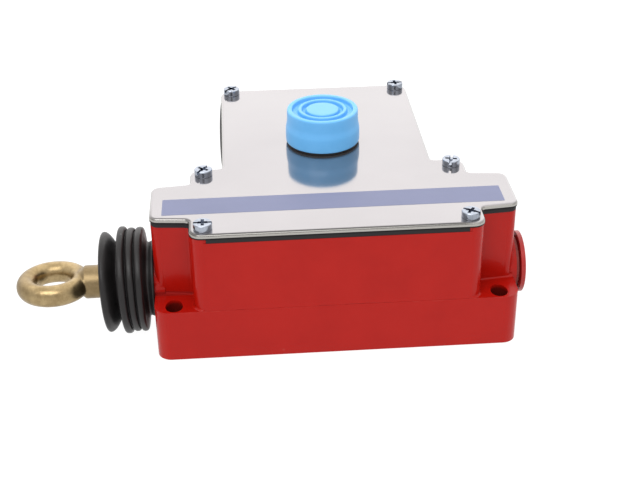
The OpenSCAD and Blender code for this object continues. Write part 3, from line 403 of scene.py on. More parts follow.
redPaintSet = {
    "dark": (0.325, 0.0046, 0.0018), "light": (0.353, 0.0060, 0.0026),
    # the next three colours are painted light and shade: a highlight and a shade for the seam, the second
    # also for shade in the left pocket's crease, and shade inside the fixing holes
    "seamHighlight": (0.42, 0.028, 0.020), "deep": (0.20, 0.003, 0.002), "holeShade": (0.12, 0.006, 0.004),
    "dust": (0.50, 0.12, 0.09),
    "seamWidth": 0.2, "seamStray": 1.1, "seamFront": (0.3, 0.7), "seamChips": 210.0,
    "seamPale": (0.52, 0.68, 0.12, 0.8), "seamDeep": (0.38, 0.52, 0.75, 0.2),
    "holeWall": (4.6, 4.4), "holeDepth": (0.2, 1.9), "holeSquash": 1.27, "holeInward": 0.5,
    "patchX": (-50, -54), "patchY": (-14.8, -13.8), "patchTop": (22.4, 21.8), "patchFoot": (20.0, 20.8),
    "rough": (0.245, 0.262), "patchRough": 0.5, "patchShare": 0.7, "coat": 0.07,
    "ripple": {"Scale": 420.0, "Sag": 26.0}, "grain": {"Grain": 1500.0, "Cloud": 55.0},
    "specks": {"Scale": 330.0, "Share": 0.012}, "speckShare": 0.3, "grainShare": 0.05, "bump": 0.05,
    "shader": {"Coat Roughness": 0.05, "Specular IOR Level": 0.17},
}


def markSeam(tree, where, spot, colour, settings):
    # a faint broken line where the block meets the base: a painted highlight in places and painted shade in
    # others, where the real seam catches light and falls dark
    noise = addNode(tree, "TexNoise", {"Vector": where, "Scale": settings["seamChips"], "Detail": 3.0})
    chips = noise.outputs["Fac"]
    stray = mathNode(tree, "MULTIPLY", mathNode(tree, "SUBTRACT", chips, 0.5), settings["seamStray"] * mm)
    level = mathNode(tree, "ADD", spot.outputs["Z"], stray)
    line = band(tree, distance(tree, level, baseTop), (0, settings["seamWidth"]), 1.0, 0.0)
    depth = mathNode(tree, "SUBTRACT", spot.outputs["Y"], frontFace)
    line = mathNode(tree, "MULTIPLY", line, band(tree, depth, settings["seamFront"], 1.0, 0.0))
    # painted highlight on some of the seam's chips, painted shade on others
    seamHighlight = mathNode(tree, "MULTIPLY", line, stretch(tree, chips, *settings["seamPale"]))
    deep = mathNode(tree, "MULTIPLY", line, stretch(tree, chips, *settings["seamDeep"]))
    colour = layer(tree, seamHighlight, colour, settings["seamHighlight"])
    return layer(tree, deep, colour, settings["deep"])


def paintHoleShade(tree, spot, colour, settings):
    # painted shade on the walls of the fixing holes, below their rims
    sideX = distance(tree, mathNode(tree, "ABSOLUTE", spot.outputs["X"]), holeX)
    sideX = mathNode(tree, "MULTIPLY", sideX, settings["holeSquash"])
    sideY = distance(tree, mathNode(tree, "ABSOLUTE", spot.outputs["Y"]), holeY - settings["holeInward"] * mm)
    squares = mathNode(tree, "ADD", product(tree, sideX, sideX), product(tree, sideY, sideY))
    wall = band(tree, mathNode(tree, "SQRT", squares), settings["holeWall"])
    below = band(tree, mathNode(tree, "SUBTRACT", baseTop, spot.outputs["Z"]), settings["holeDepth"])
    return layer(tree, product(tree, wall, below), colour, settings["holeShade"])


def pocketCreaseShade(tree, spot, settings):
    # painted shade: a dark rough band at the height of the base's top, on the left and from the pocket's wall
    # back, where the crease between the pocket's back wall and floor falls dark
    return product(tree, band(tree, spot.outputs["X"], settings["patchX"]),
                   band(tree, spot.outputs["Y"], settings["patchY"]),
                   band(tree, spot.outputs["Z"], settings["patchTop"]),
                   band(tree, spot.outputs["Z"], settings["patchFoot"]))


def makeRedPaint(name, settings):
    material, tree, shader = newMaterial(name, settings["shader"])
    where = objectPlace(tree)
    spot = addNode(tree, "SeparateXYZ", {"Vector": where})
    ripple = place(tree, rippleGroup, where, **settings["ripple"])
    grain = place(tree, grainGroup, where, **settings["grain"])
    specks = place(tree, speckGroup, where, **settings["specks"])
    colour = tint(tree, grain.outputs["Tone"], settings["dark"], settings["light"])
    dusty = mathNode(tree, "MULTIPLY", specks.outputs[0], settings["speckShare"])
    colour = layer(tree, dusty, colour, settings["dust"])
    colour = markSeam(tree, where, spot, colour, settings)
    colour = paintHoleShade(tree, spot, colour, settings)
    # painted shade in that crease: its colour darkens, and it is also made rougher and loses its coat
    patch = pocketCreaseShade(tree, spot, settings)
    colour = layer(tree, mathNode(tree, "MULTIPLY", patch, settings["patchShare"]), colour, settings["deep"])
    tree.links.new(colour, shader.inputs["Base Color"])
    tree.links.new(stretch(tree, patch, 0, 1, settings["coat"], 0.0), shader.inputs["Coat Weight"])
    rough = stretch(tree, ripple.outputs["Tone"], 0, 1, *settings["rough"])
    rough = mathNode(tree, "ADD", rough, mathNode(tree, "MULTIPLY", patch, settings["patchRough"]))
    tree.links.new(rough, shader.inputs["Roughness"])
    fine = mathNode(tree, "MULTIPLY", grain.outputs["Height"], settings["grainShare"])
    addBump(tree, shader, mathNode(tree, "ADD", ripple.outputs["Height"], fine), settings["bump"], 0.6)
    return material


# the bands of the plate's edge are depths below its top
plateSet = {
    "face": (0.388, 0.374, 0.380), "faceDark": (0.369, 0.356, 0.362), "rim": (0.385, 0.376, 0.352),
    # the turn, crown and foot colours are painted shade on the plate's rolled edge
    "turnShade": (0.06, 0.058, 0.061), "crown": (0.165, 0.161, 0.152), "foot": (0.014, 0.013, 0.014),
    "rimAt": (0.25, 0.55), "turnShadeAt": (0.26, 0.10), "crownAt": (0.8, 0.55), "footShadeAt": (1.4, 1.56),
    "frontX": (46, 52), "frontY": (-22, 0), "elsewhere": 0.12, "turnedUp": (0.998, 0.97),
    "rough": (0.085, 0.115), "rimRough": 0.16, "scuffRough": 0.08, "bump": 0.006,
    "lines": (130.0, 6.0, 900.0), "grain": {"Grain": 2600.0, "Cloud": 18.0},
    "scuffs": {"Scale": 30.0, "Share": 0.4},
    "shader": {"Metallic": 0.92},
}


def shadeEdge(tree, spot, below, colour, settings):
    # painted shade: dark bands where the front edge turns over, as far as the right screw, that darken its
    # reflection, and painted shade at its foot all round, where the plate meets the gasket
    normal = addNode(tree, "NewGeometry").outputs["True Normal"]
    up = addNode(tree, "SeparateXYZ", {"Vector": normal}).outputs["Z"]
    turned = product(tree, band(tree, spot.outputs["X"], settings["frontX"], 1.0, 0.0),
                     band(tree, spot.outputs["Y"], settings["frontY"], 1.0, settings["elsewhere"]),
                     stretch(tree, up, *settings["turnedUp"]))
    for part in ("crown", "turnShade"):
        share = mathNode(tree, "MULTIPLY", turned, band(tree, below, settings[part + "At"]))
        colour = layer(tree, share, colour, settings[part])
    return layer(tree, band(tree, below, settings["footShadeAt"]), colour, settings["foot"])


def makePlateSteel(name, settings):
    material, tree, shader = newMaterial(name, settings["shader"])
    where = objectPlace(tree)
    spot = addNode(tree, "SeparateXYZ", {"Vector": where})
    below = mathNode(tree, "SUBTRACT", coverTop, spot.outputs["Z"])
    lines = place(tree, streakGroup, where, Stretch=settings["lines"])
    grain = place(tree, grainGroup, where, **settings["grain"])
    scuffs = place(tree, scuffGroup, where, **settings["scuffs"])
    colour = tint(tree, grain.outputs["Tone"], settings["faceDark"], settings["face"])
    rim = band(tree, below, settings["rimAt"])
    colour = layer(tree, rim, colour, settings["rim"])
    colour = shadeEdge(tree, spot, below, colour, settings)
    tree.links.new(colour, shader.inputs["Base Color"])
    rough = mathNode(tree, "ADD", stretch(tree, grain.outputs["Tone"], 0, 1, *settings["rough"]),
                     mathNode(tree, "MULTIPLY", rim, settings["rimRough"]))
    scratched = mathNode(tree, "MULTIPLY", scuffs.outputs[0], settings["scuffRough"])
    rough = mathNode(tree, "ADD", rough, scratched)
    tree.links.new(rough, shader.inputs["Roughness"])
    addBump(tree, shader, lines.outputs["Height"], settings["bump"], 0.5)
    return material


metalSets = {
    "screwZinc": {"dark": (0.24, 0.265, 0.31), "light": (0.40, 0.435, 0.50), "rough": (0.13, 0.24),
                  "lines": (700.0, 700.0, 60.0), "bump": 0.01, "grain": 1400.0},
    "eyeBrass": {"dark": (0.245, 0.176, 0.086), "light": (0.455, 0.343, 0.183), "rough": (0.30, 0.43),
                 # the dark colour below is painted shade, laid along the shank and at the ring's far end
                 "paintedShade": (0.14, 0.100, 0.052), "paintedShadeAt": [((-100, -96.5), 0.6), ((-114, -121), 0.45)],
                 "lines": (300.0, 300.0, 300.0), "bump": 0.055, "grain": 900.0},
    "turnedSteel": {"dark": (0.42, 0.42, 0.43), "light": (0.58, 0.58, 0.59), "rough": (0.2, 0.34),
                    "lines": (900.0, 30.0, 30.0), "bump": 0.01, "grain": 1200.0},
    "springWire": {"dark": (0.25, 0.25, 0.27), "light": (0.42, 0.42, 0.44), "rough": (0.25, 0.4),
                   "lines": (60.0, 60.0, 700.0), "bump": 0.01, "grain": 900.0},
    "bushBronze": {"dark": (0.38, 0.23, 0.09), "light": (0.55, 0.35, 0.15), "rough": (0.34, 0.5),
                   "lines": (500.0, 40.0, 40.0), "bump": 0.02, "grain": 1500.0},
}


metalLook = {"cloud": 120.0, "scuffs": {"Scale": 80.0, "Share": 0.46}, "scuffRough": 0.1}


def makeMetal(name, settings):
    material, tree, shader = newMaterial(name, {"Metallic": 1.0})
    where = objectPlace(tree)
    lines = place(tree, streakGroup, where, Stretch=settings["lines"])
    grain = place(tree, grainGroup, where, Grain=settings["grain"], Cloud=metalLook["cloud"])
    scuffs = place(tree, scuffGroup, where, **metalLook["scuffs"])
    both = mathNode(tree, "ADD", lines.outputs["Tone"], grain.outputs["Tone"])
    mixed = mathNode(tree, "MULTIPLY", both, 0.5)
    colour = tint(tree, mixed, settings["dark"], settings["light"])
    if "paintedShade" in settings:
        # painted shade: darker along the shank and at the ring's far end
        along = addNode(tree, "SeparateXYZ", {"Vector": where}).outputs["X"]
        for ends, share in settings["paintedShadeAt"]:
            colour = layer(tree, band(tree, along, ends, 0.0, share), colour, settings["paintedShade"])
    tree.links.new(colour, shader.inputs["Base Color"])
    rough = stretch(tree, grain.outputs["Tone"], 0, 1, *settings["rough"])
    scratched = mathNode(tree, "MULTIPLY", scuffs.outputs[0], metalLook["scuffRough"])
    rough = mathNode(tree, "ADD", rough, scratched)
    tree.links.new(rough, shader.inputs["Roughness"])
    height = mathNode(tree, "ADD", grain.outputs["Height"], lines.outputs["Height"])
    addBump(tree, shader, height, settings["bump"], 0.7)
    return material


mouldedSets = {
    "bellowsRubber": {"dark": (0.0052, 0.0045, 0.0046), "light": (0.0092, 0.0081, 0.0083),
                      "rough": (0.36, 0.48), "grain": 1300.0, "bump": 0.02, "dust": (0.10, 0.10, 0.10),
                      "share": 0.03,
                      "shader": {"Specular IOR Level": 0.36}},
    "gasketRubber": {"dark": (0.0075, 0.006, 0.007), "light": (0.013, 0.011, 0.012), "rough": (0.5, 0.66),
                     "grain": 1600.0, "bump": 0.03, "dust": (0.12, 0.12, 0.12), "share": 0.03,
                     "shader": {"Specular IOR Level": 0.3}},
    "sealBrown": {"dark": (0.17, 0.030, 0.026), "light": (0.26, 0.060, 0.053), "rough": (0.5, 0.66),
                  "grain": 1600.0, "bump": 0.03, "dust": (0.12, 0.06, 0.05), "share": 0.02,
                  "shader": {"Specular IOR Level": 0.2}},
    "bootSilicone": {"dark": (0.114, 0.404, 0.765), "light": (0.132, 0.432, 0.80), "rough": (0.36, 0.46),
                     "grain": 1500.0, "bump": 0.015, "dust": (0.02, 0.05, 0.09), "share": 0.006,
                     "shader": {"Specular IOR Level": 0.6}},
    "plugPlastic": {"dark": (0.31, 0.0075, 0.006), "light": (0.37, 0.010, 0.008), "rough": (0.26, 0.36),
                    "grain": 900.0, "bump": 0.02, "dust": (0.42, 0.08, 0.07), "share": 0.01,
                    "shader": {"Specular IOR Level": 0.45}},
    "paleNylon": {"dark": (0.58, 0.56, 0.49), "light": (0.70, 0.68, 0.61), "rough": (0.4, 0.52),
                  "grain": 1000.0, "bump": 0.02, "dust": (0.3, 0.28, 0.24), "share": 0.02,
                  "shader": {"Specular IOR Level": 0.5}},
    "darkNylon": {"dark": (0.030, 0.031, 0.036), "light": (0.048, 0.050, 0.056), "rough": (0.38, 0.5),
                  "grain": 1000.0, "bump": 0.02, "dust": (0.16, 0.16, 0.16), "share": 0.02,
                  "shader": {"Specular IOR Level": 0.5}},
    "stripInk": {"dark": (0.141, 0.157, 0.258), "light": (0.155, 0.171, 0.277), "rough": (0.30, 0.38),
                 "grain": 2400.0, "bump": 0.004, "dust": (0.4, 0.4, 0.45), "share": 0.02,
                 "shader": {"Specular IOR Level": 0.25}},
}


mouldedLook = {
    "cloud": 70.0, "speckScale": 420.0, "speckShare": 0.6,
    "scuffs": {"Scale": 50.0, "Share": 0.42}, "scuffShare": 0.06,
}


def makeMoulded(name, settings):
    material, tree, shader = newMaterial(name, settings["shader"])
    where = objectPlace(tree)
    grain = place(tree, grainGroup, where, Grain=settings["grain"], Cloud=mouldedLook["cloud"])
    specks = place(tree, speckGroup, where, Scale=mouldedLook["speckScale"], Share=settings["share"])
    scuffs = place(tree, scuffGroup, where, **mouldedLook["scuffs"])
    colour = tint(tree, grain.outputs["Tone"], settings["dark"], settings["light"])
    marks = mathNode(tree, "ADD", mathNode(tree, "MULTIPLY", specks.outputs[0], mouldedLook["speckShare"]),
                     mathNode(tree, "MULTIPLY", scuffs.outputs[0], mouldedLook["scuffShare"]))
    tree.links.new(layer(tree, marks, colour, settings["dust"]), shader.inputs["Base Color"])
    tree.links.new(stretch(tree, grain.outputs["Tone"], 0, 1, *settings["rough"]), shader.inputs["Roughness"])
    addBump(tree, shader, grain.outputs["Height"], settings["bump"], 0.7)
    return material


floorSet = {
    "dark": (0.11, 0.11, 0.11), "light": (0.12, 0.12, 0.12), "shadeX": (64, 67), "shadeY": (22, 25),
    "shader": {"Roughness": 0.9, "Specular IOR Level": 0.0, "Emission Strength": 0.98},
}


def makeFloorWhite(name, settings):
    material, tree, shader = newMaterial(name, settings["shader"])
    where = objectPlace(tree)
    grain = place(tree, grainGroup, where, Grain=30.0, Cloud=2.0)
    tone = tint(tree, grain.outputs["Tone"], settings["dark"], settings["light"])
    tree.links.new(tone, shader.inputs["Base Color"])
    # the floor doesn't glow under the base, so its screw holes stay dark
    spot = addNode(tree, "SeparateXYZ", {"Vector": where})
    along = band(tree, mathNode(tree, "ABSOLUTE", spot.outputs["X"]), settings["shadeX"])
    across = band(tree, mathNode(tree, "ABSOLUTE", spot.outputs["Y"]), settings["shadeY"])
    tree.links.new(tint(tree, mathNode(tree, "MAXIMUM", along, across), (0, 0, 0), (1, 1, 1)),
                   shader.inputs["Emission Color"])
    return material


finishes = {
    "redPaint": makeRedPaint("redPaint", redPaintSet),
    "plateSteel": makePlateSteel("plateSteel", plateSet),
}
for name, settings in metalSets.items():
    finishes[name] = makeMetal(name, settings)
for name, settings in mouldedSets.items():
    finishes[name] = makeMoulded(name, settings)
print("finishes made:", len(finishes))

nodeFinish = {
    "redPaint": ["housing"],
    "plateSteel": ["cover_plate"],
    "gasketRubber": ["cover_gasket", "ring_seal"],
    "sealBrown": ["plug_seals"],
    "bellowsRubber": ["bellows"],
    "bootSilicone": ["reset_boot"],
    "plugPlastic": ["end_plug", "side_plugs"],
    "eyeBrass": ["eyebolt"],
    "screwZinc": ["cover_screws", "bracket_screws", "block_screws", "terminal_screws", "terminal_clamps",
                  "earth_screw", "earth_clamp", "button_nut", "button_bushing", "mechanism_bracket",
                  "rod_nut", "latch_lever"],
    "turnedSteel": ["pull_rod", "spring_seat", "cam_block", "cam_pin", "roller_pin", "cam_roller",
                    "latch_pin"],
    "springWire": ["return_spring", "latch_spring", "plunger_springs", "reset_spring", "stem_clip"],
    "bushBronze": ["front_bush", "rear_bush"],
    "paleNylon": ["contact_carrier", "contact_plungers"],
    "darkNylon": ["contact_block_left", "contact_block_right", "reset_plunger"],
}


def dress(piece, finish):
    mesh = piece.data
    if not mesh.materials:
        mesh.materials.append(finishes[finish])
    for index in range(len(mesh.materials)):
        mesh.materials[index] = finishes[finish]


for finish, names in nodeFinish.items():
    for nodeName in names:
        for slotItem in nodes[nodeName].material_slots:
            slotItem.link = "OBJECT"
            slotItem.material = finishes[finish]
print("nodes dressed:", sum(len(names) for names in nodeFinish.values()))

# ---- die cast body ----

castSet = {
    "edge": 0.32, "segments": 3, "ledge": 0.22, "ledgeDeep": (0.1, 0.4), "ledgeHigh": (-0.1, 1.2),
    "holeEdge": 3.4, "holeWide": 1.05, "holeOut": 1.18, "holeIn": 1.5,
}


def fillLedge(vert, settings):
    # the little ledge where the block meets the base is drawn forward
    deep, high = (vert.co.y - frontFace) / mm, (vert.co.z - baseTop) / mm
    if settings["ledgeDeep"][0] < deep < settings["ledgeDeep"][1] and \
            settings["ledgeHigh"][0] < high < settings["ledgeHigh"][1]:
        vert.co.y -= settings["ledge"] * mm


def openHole(vert, settings):
    # the fixing holes are made wider and longer than the frame has them
    centre = Vector((math.copysign(holeX, vert.co.x), math.copysign(holeY, vert.co.y)))
    away = vert.co.xy - centre
    if away.length < settings["holeEdge"] * mm and vert.co.z < baseTop + 0.05 * mm:
        vert.co.x = centre.x + away.x * settings["holeWide"]
        vert.co.y = centre.y + away.y * settings["holeIn" if away.y * centre.y < 0 else "holeOut"]


def makeCastBody(settings):
    bm = mergedMesh("housing")
    for vert in bm.verts:
        fillLedge(vert, settings)
        openHole(vert, settings)
    smoothShade(bm)
    piece = newPiece("castBody", bm)
    dress(piece, "redPaint")
    softenEdges(piece, settings["edge"], settings["segments"])
    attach(piece, "housing")
    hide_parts("housing")


makeCastBody(castSet)
print("cast body done")

# ---- cover plate, gasket and name strip ----

coverSet = {"flat": 0.3, "sharp": 40}


def makeCover(settings):
    bm = mergedMesh("cover_plate", settings["flat"])
    smoothShade(bm, settings["sharp"])
    piece = newPiece("coverPlate", bm)
    dress(piece, "plateSteel")
    weighted = piece.modifiers.new("evenShade", "WEIGHTED_NORMAL")
    weighted.keep_sharp = True
    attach(piece, "housing")
    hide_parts("cover_plate")


makeCover(coverSet)

stripSet = {
    "left": -64.3, "right": 64.0, "front": -10.5, "back": 1.7,
    "thick": 0.06, "sunk": 0.01, "corner": 0.4,
}


def makeStrip(settings):
    bm = bmesh.new()
    bmesh.ops.create_grid(bm, x_segments=1, y_segments=1, size=0.5)
    size = Vector((settings["right"] - settings["left"], settings["back"] - settings["front"], 1)) * mm
    bmesh.ops.scale(bm, verts=bm.verts, vec=size)
    across = (settings["right"] + settings["left"]) / 2 * mm
    deep = (settings["back"] + settings["front"]) / 2 * mm
    bmesh.ops.translate(bm, verts=bm.verts, vec=(across, deep, coverTop - settings["sunk"] * mm))
    bmesh.ops.bevel(bm, geom=bm.verts[:], offset=settings["corner"] * mm, segments=3, profile=0.5,
                    affect="VERTICES", material=-1)
    lifted = bmesh.ops.extrude_face_region(bm, geom=bm.faces[:])["geom"]
    bmesh.ops.translate(bm, verts=[v for v in lifted if isinstance(v, bmesh.types.BMVert)],
                        vec=(0, 0, settings["thick"] * mm))
    bmesh.ops.recalc_face_normals(bm, faces=bm.faces)
    smoothShade(bm)
    piece = newPiece("nameStrip", bm)
    dress(piece, "stripInk")
    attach(piece, "housing")


makeStrip(stripSet)

gasketSet = {
    "from": 33.0, "to": 98.5, "leftOf": -40.0, "cutLeftOf": -30.0,
    "bulge": 1.2, "fullness": 0.4, "cuts": 20,
}


def makeGasket(settings):
    # the rubber bulges out between the two screws on the leg's left side
    bm = mergedMesh("cover_gasket")
    span = settings["to"] - settings["from"]
    for index in range(settings["cuts"] + 1):
        y = (settings["from"] + span * index / settings["cuts"]) * mm
        near = [v for v in bm.verts if v.co.x < settings["cutLeftOf"] * mm]
        faces = {f for v in near for f in v.link_faces}
        edges = {e for f in faces for e in f.edges}
        bmesh.ops.bisect_plane(bm, geom=near + list(edges) + list(faces), dist=0.0001 * mm,
                               plane_co=(0, y, 0), plane_no=(0, 1, 0))
    for vert in bm.verts:
        along = (vert.co.y / mm - settings["from"]) / span
        if vert.co.x < settings["leftOf"] * mm and 0 < along < 1:
            vert.co.x -= settings["bulge"] * mm * math.sin(math.pi * along) ** settings["fullness"]
    smoothShade(bm)
    piece = newPiece("coverGasket", bm)
    dress(piece, "gasketRubber")
    softenEdges(piece, 0.15, 2, 50)
    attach(piece, "housing")
    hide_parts("cover_gasket")


makeGasket(gasketSet)
print("cover, gasket and strip done")

# ---- cover screws ----

screwSet = {
    "head": 3.5, "headHeight": 2.6, "edge": 0.4, "footEdge": 0.3, "shank": 2.0, "shankLength": 12.0,
    "slots": [(9.0, 1.0, 1.25, 0), (4.6, 1.15, 1.8, 90), (3.6, 1.5, 1.7, 0)],
    "turns": {(-49, -21.5): 0, (-49, 21.5): 55, (49, -21.5): -35, (49, 21.5): 75,
              (-36.9, 100.7): 40, (36.9, 100.7): 5},
}


def cutAway(piece, cutter):
    cut = piece.modifiers.new("cut", "BOOLEAN")
    cut.operation = "DIFFERENCE"
    cut.solver = "EXACT"
    cut.object = cutter
    bpy.context.view_layer.update()
    mesh = bpy.data.meshes.new_from_object(piece.evaluated_get(bpy.context.evaluated_depsgraph_get()))
    piece.modifiers.clear()
    piece.data = mesh
    bpy.data.objects.remove(cutter)


def makeCoverScrews(settings):
    top = settings["headHeight"]
    bm = bmesh.new()
    bmesh.ops.create_cone(bm, cap_ends=True, segments=48, radius1=settings["head"], radius2=settings["head"],
                          depth=top, matrix=Matrix.Translation((0, 0, top / 2)))
    crown = [e for e in bm.edges if all(v.co.z > top - 0.01 for v in e.verts)]
    bmesh.ops.bevel(bm, geom=crown, offset=settings["edge"], segments=3, profile=0.5,
                    affect="EDGES", material=-1)
    foot = [e for e in bm.edges if all(v.co.z < 0.01 for v in e.verts)]
    bmesh.ops.bevel(bm, geom=foot, offset=settings["footEdge"], segments=2, profile=0.5,
                    affect="EDGES", material=-1)
    head = newPiece("screwHead", bm)
    for length, width, depth, turn in settings["slots"]:
        bm = bmesh.new()
        bmesh.ops.create_cube(bm, size=1)
        bmesh.ops.scale(bm, verts=bm.verts, vec=(length, width, depth + 1))
        around = Matrix.Rotation(math.radians(turn), 3, "Z")
        bmesh.ops.rotate(bm, verts=bm.verts, cent=(0, 0, 0), matrix=around)
        bmesh.ops.translate(bm, verts=bm.verts, vec=(0, 0, top + 0.5 - depth / 2))
        cutAway(head, newPiece("slotCutter", bm))
    bm = bmesh.new()
    bm.from_mesh(head.data)
    bpy.data.objects.remove(head)
    bmesh.ops.create_cone(bm, cap_ends=True, segments=24, radius1=settings["shank"] * 0.8,
                          radius2=settings["shank"], depth=settings["shankLength"],
                          matrix=Matrix.Translation((0, 0, -settings["shankLength"] / 2)))
    single = bpy.data.meshes.new("screwSingle")
    bm.to_mesh(single)
    bm.free()
    bm = bmesh.new()
    for (x, y), turn in settings["turns"].items():
        before = set(bm.verts)
        bm.from_mesh(single)
        fresh = [v for v in bm.verts if v not in before]
        bmesh.ops.scale(bm, verts=fresh, vec=(mm, mm, mm))
        around = Matrix.Rotation(math.radians(turn), 3, "Z")
        bmesh.ops.rotate(bm, verts=fresh, cent=(0, 0, 0), matrix=around)
        bmesh.ops.translate(bm, verts=fresh, vec=(x * mm, y * mm, coverTop))
    smoothShade(bm, 30)
    print("cover screw faces:", len(bm.faces))
    piece = newPiece("coverScrews", bm)
    dress(piece, "screwZinc")
    softenEdges(piece, 0.08, 2, 50)
    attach(piece, "housing")
    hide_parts("cover_screws")


makeCoverScrews(screwSet)
print("cover screws done")

# ---- rope eye ----

eyeSet = {
    "ring": 10.5, "sectionX": 3.8, "sectionZ": 4.25,
    "shank": 6.5, "shankEnd": -84.9, "shoulder": (9.6, 12.4),
    "voxel": 0.36, "smooth": 4, "sag": 0.6, "twist": -4.8,
}
pivot = Vector((wingEnd, 0, axisZ))
sagStart, sagOver = wingEnd / mm - 1, 6.0


def sagDown(bm, degrees):
    # the pulled end sags: a turn that grows over a few millimetres
    for vert in bm.verts:
        reach = sagStart - vert.co.x / mm
        if reach > 0:
            share = min(1.0, reach / sagOver)
            angle = math.radians(degrees) * share * share * (3 - 2 * share)
            vert.co = pivot + Matrix.Rotation(-angle, 3, "Y") @ (vert.co - pivot)


def makeEye(settings):
    centreX = (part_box("eyebolt")[0].x / mm) + settings["ring"] + settings["sectionX"]
    centre = Vector((centreX * mm, 0, axisZ))
    bm = bmesh.new()
    section = bmesh.ops.create_circle(bm, cap_ends=False, radius=1, segments=28)["verts"]
    bmesh.ops.scale(bm, verts=section, vec=Vector((settings["sectionX"], settings["sectionZ"], 1)) * mm)
    bmesh.ops.rotate(bm, verts=section, cent=(0, 0, 0), matrix=Matrix.Rotation(math.pi / 2, 3, "X"))
    bmesh.ops.translate(bm, verts=section, vec=centre + Vector((settings["ring"] * mm, 0, 0)))
    bmesh.ops.spin(bm, geom=section + bm.edges[:], cent=centre, axis=(0, 0, 1), dvec=(0, 0, 0),
                   angle=math.tau, steps=80, use_merge=True, use_duplicate=False)
    bmesh.ops.recalc_face_normals(bm, faces=bm.faces)
    twist = Matrix.Rotation(math.radians(settings["twist"]), 3, "X")
    bmesh.ops.rotate(bm, verts=bm.verts, cent=centre, matrix=twist)
    turn = Matrix.Rotation(math.pi / 2, 4, "Y")
    near, full = (centreX + along for along in settings["shoulder"])
    shank, thick, last = settings["shank"], settings["sectionZ"], settings["shankEnd"]
    for first, last, r1, r2 in (
        (centreX + settings["ring"] - 1.2, last, thick * 0.95, shank * 0.9),
        (near, full, thick * 1.05, shank),
        (full - 0.2, last, shank, shank),
    ):
        bmesh.ops.create_cone(bm, cap_ends=True, segments=48, radius1=r1 * mm, radius2=r2 * mm,
                              depth=(last - first) * mm,
                              matrix=Matrix.Translation(((first + last) / 2 * mm, 0, axisZ)) @ turn)
    piece = newPiece("ropeEye", bm)
    remesh = piece.modifiers.new("fuse", "REMESH")
    remesh.mode = "VOXEL"
    remesh.voxel_size = settings["voxel"] * mm
    relax = piece.modifiers.new("fillet", "SMOOTH")
    relax.iterations = settings["smooth"]
    relax.factor = 0.5
    bm = frozen(piece)
    sagDown(bm, settings["sag"])
    piece = newPiece("ropeEye", bm)
    dress(piece, "eyeBrass")
    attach(piece, "pull_line")
    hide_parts("eyebolt")


makeEye(eyeSet)
print("rope eye done")

# ---- bellows ----

bellowsSet = {
    "steps": 48, "level": 2, "sag": 0.6, "lean": 1.4, "cupDrop": 0.5,
    "leanFrom": 2.0, "leanOver": 8.0, "dropFrom": 12.5, "dropOver": 4.5, "blendFrom": 4.4, "blendTo": 16.5,
    # each fold's middle, radius and half width, and the radius of the groove on either side of it
    "folds": [(5.5, 20.3, 1.44, 17.2, 18.9), (8.65, 20.2, 1.44, 18.9, 18.9),
              (11.9, 20.85, 1.55, 18.9, 17.2)],
}


def bellowsSection(settings):
    # (radius, distance from the wing): outside from the collar to the cup's front, then back inside
    outside = [(13.1, 0.25), (14.6, 0.15), (15.1, 0.9), (14.4, 2.0), (14.1, 3.4)]
    for middle, reach, outer, inner, far in settings["folds"]:
        outside += [(inner, middle - 1.40), (reach - 0.9, middle - 1.44), (reach + 0.1, middle - 0.95),
                    (reach + 0.1, middle + outer - 0.5), (reach - 0.9, middle + outer),
                    (far, middle + outer - 0.04)]
    outside += [(15.0, 13.3), (14.2, 14.0), (15.0, 14.9), (17.6, 16.4), (19.0, 17.6), (19.7, 18.8),
                (19.45, 19.8), (18.2, 20.3), (16.0, 20.4), (12.0, 20.4), (6.46, 20.2)]
    inside = [(6.46, 18.6), (12.0, 18.9), (16.6, 18.8), (17.0, 18.2), (13.9, 15.3)]
    for middle, reach, *_ in reversed(settings["folds"]):
        inside += [(13.4, middle + 1.3), (reach - 1.9, middle + 0.4), (reach - 1.9, middle - 0.4),
                   (13.4, middle - 1.3)]
    inside += [(13.1, 4.2)]
    return outside + inside


def makeBellows(settings):
    bm = spunShell(bellowsSection(settings), settings["steps"], (wingEnd, 0, axisZ), (-1, 0, 0))
    piece = newPiece("pullBellows", bm)
    subdivide(piece, settings["level"])
    bm = frozen(piece)
    sagDown(bm, settings["sag"])
    lean = math.tan(math.radians(settings["lean"]))
    for vert in bm.verts:
        reach = (wingEnd - vert.co.x) / mm
        share = min(1.0, max(0.0, (reach - settings["leanFrom"]) / settings["leanOver"]))
        vert.co.x -= (vert.co.z - axisZ) * lean * share
        # the cup hangs a little lower than the folds
        out = min(1.0, max(0.0, (reach - settings["dropFrom"]) / settings["dropOver"]))
        vert.co.z -= settings["cupDrop"] * mm * out * out * (3 - 2 * out)
    piece = newPiece("pullBellows", bm)
    dress(piece, "bellowsRubber")
    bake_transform(piece)
    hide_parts("bellows")


makeBellows(bellowsSet)
print("bellows done")

# ---- reset boot ----

bootSet = {"steps": 40, "level": 2, "blendFrom": 2.6, "blendTo": 12.2, "height": 14.7, "groove": 1.9}


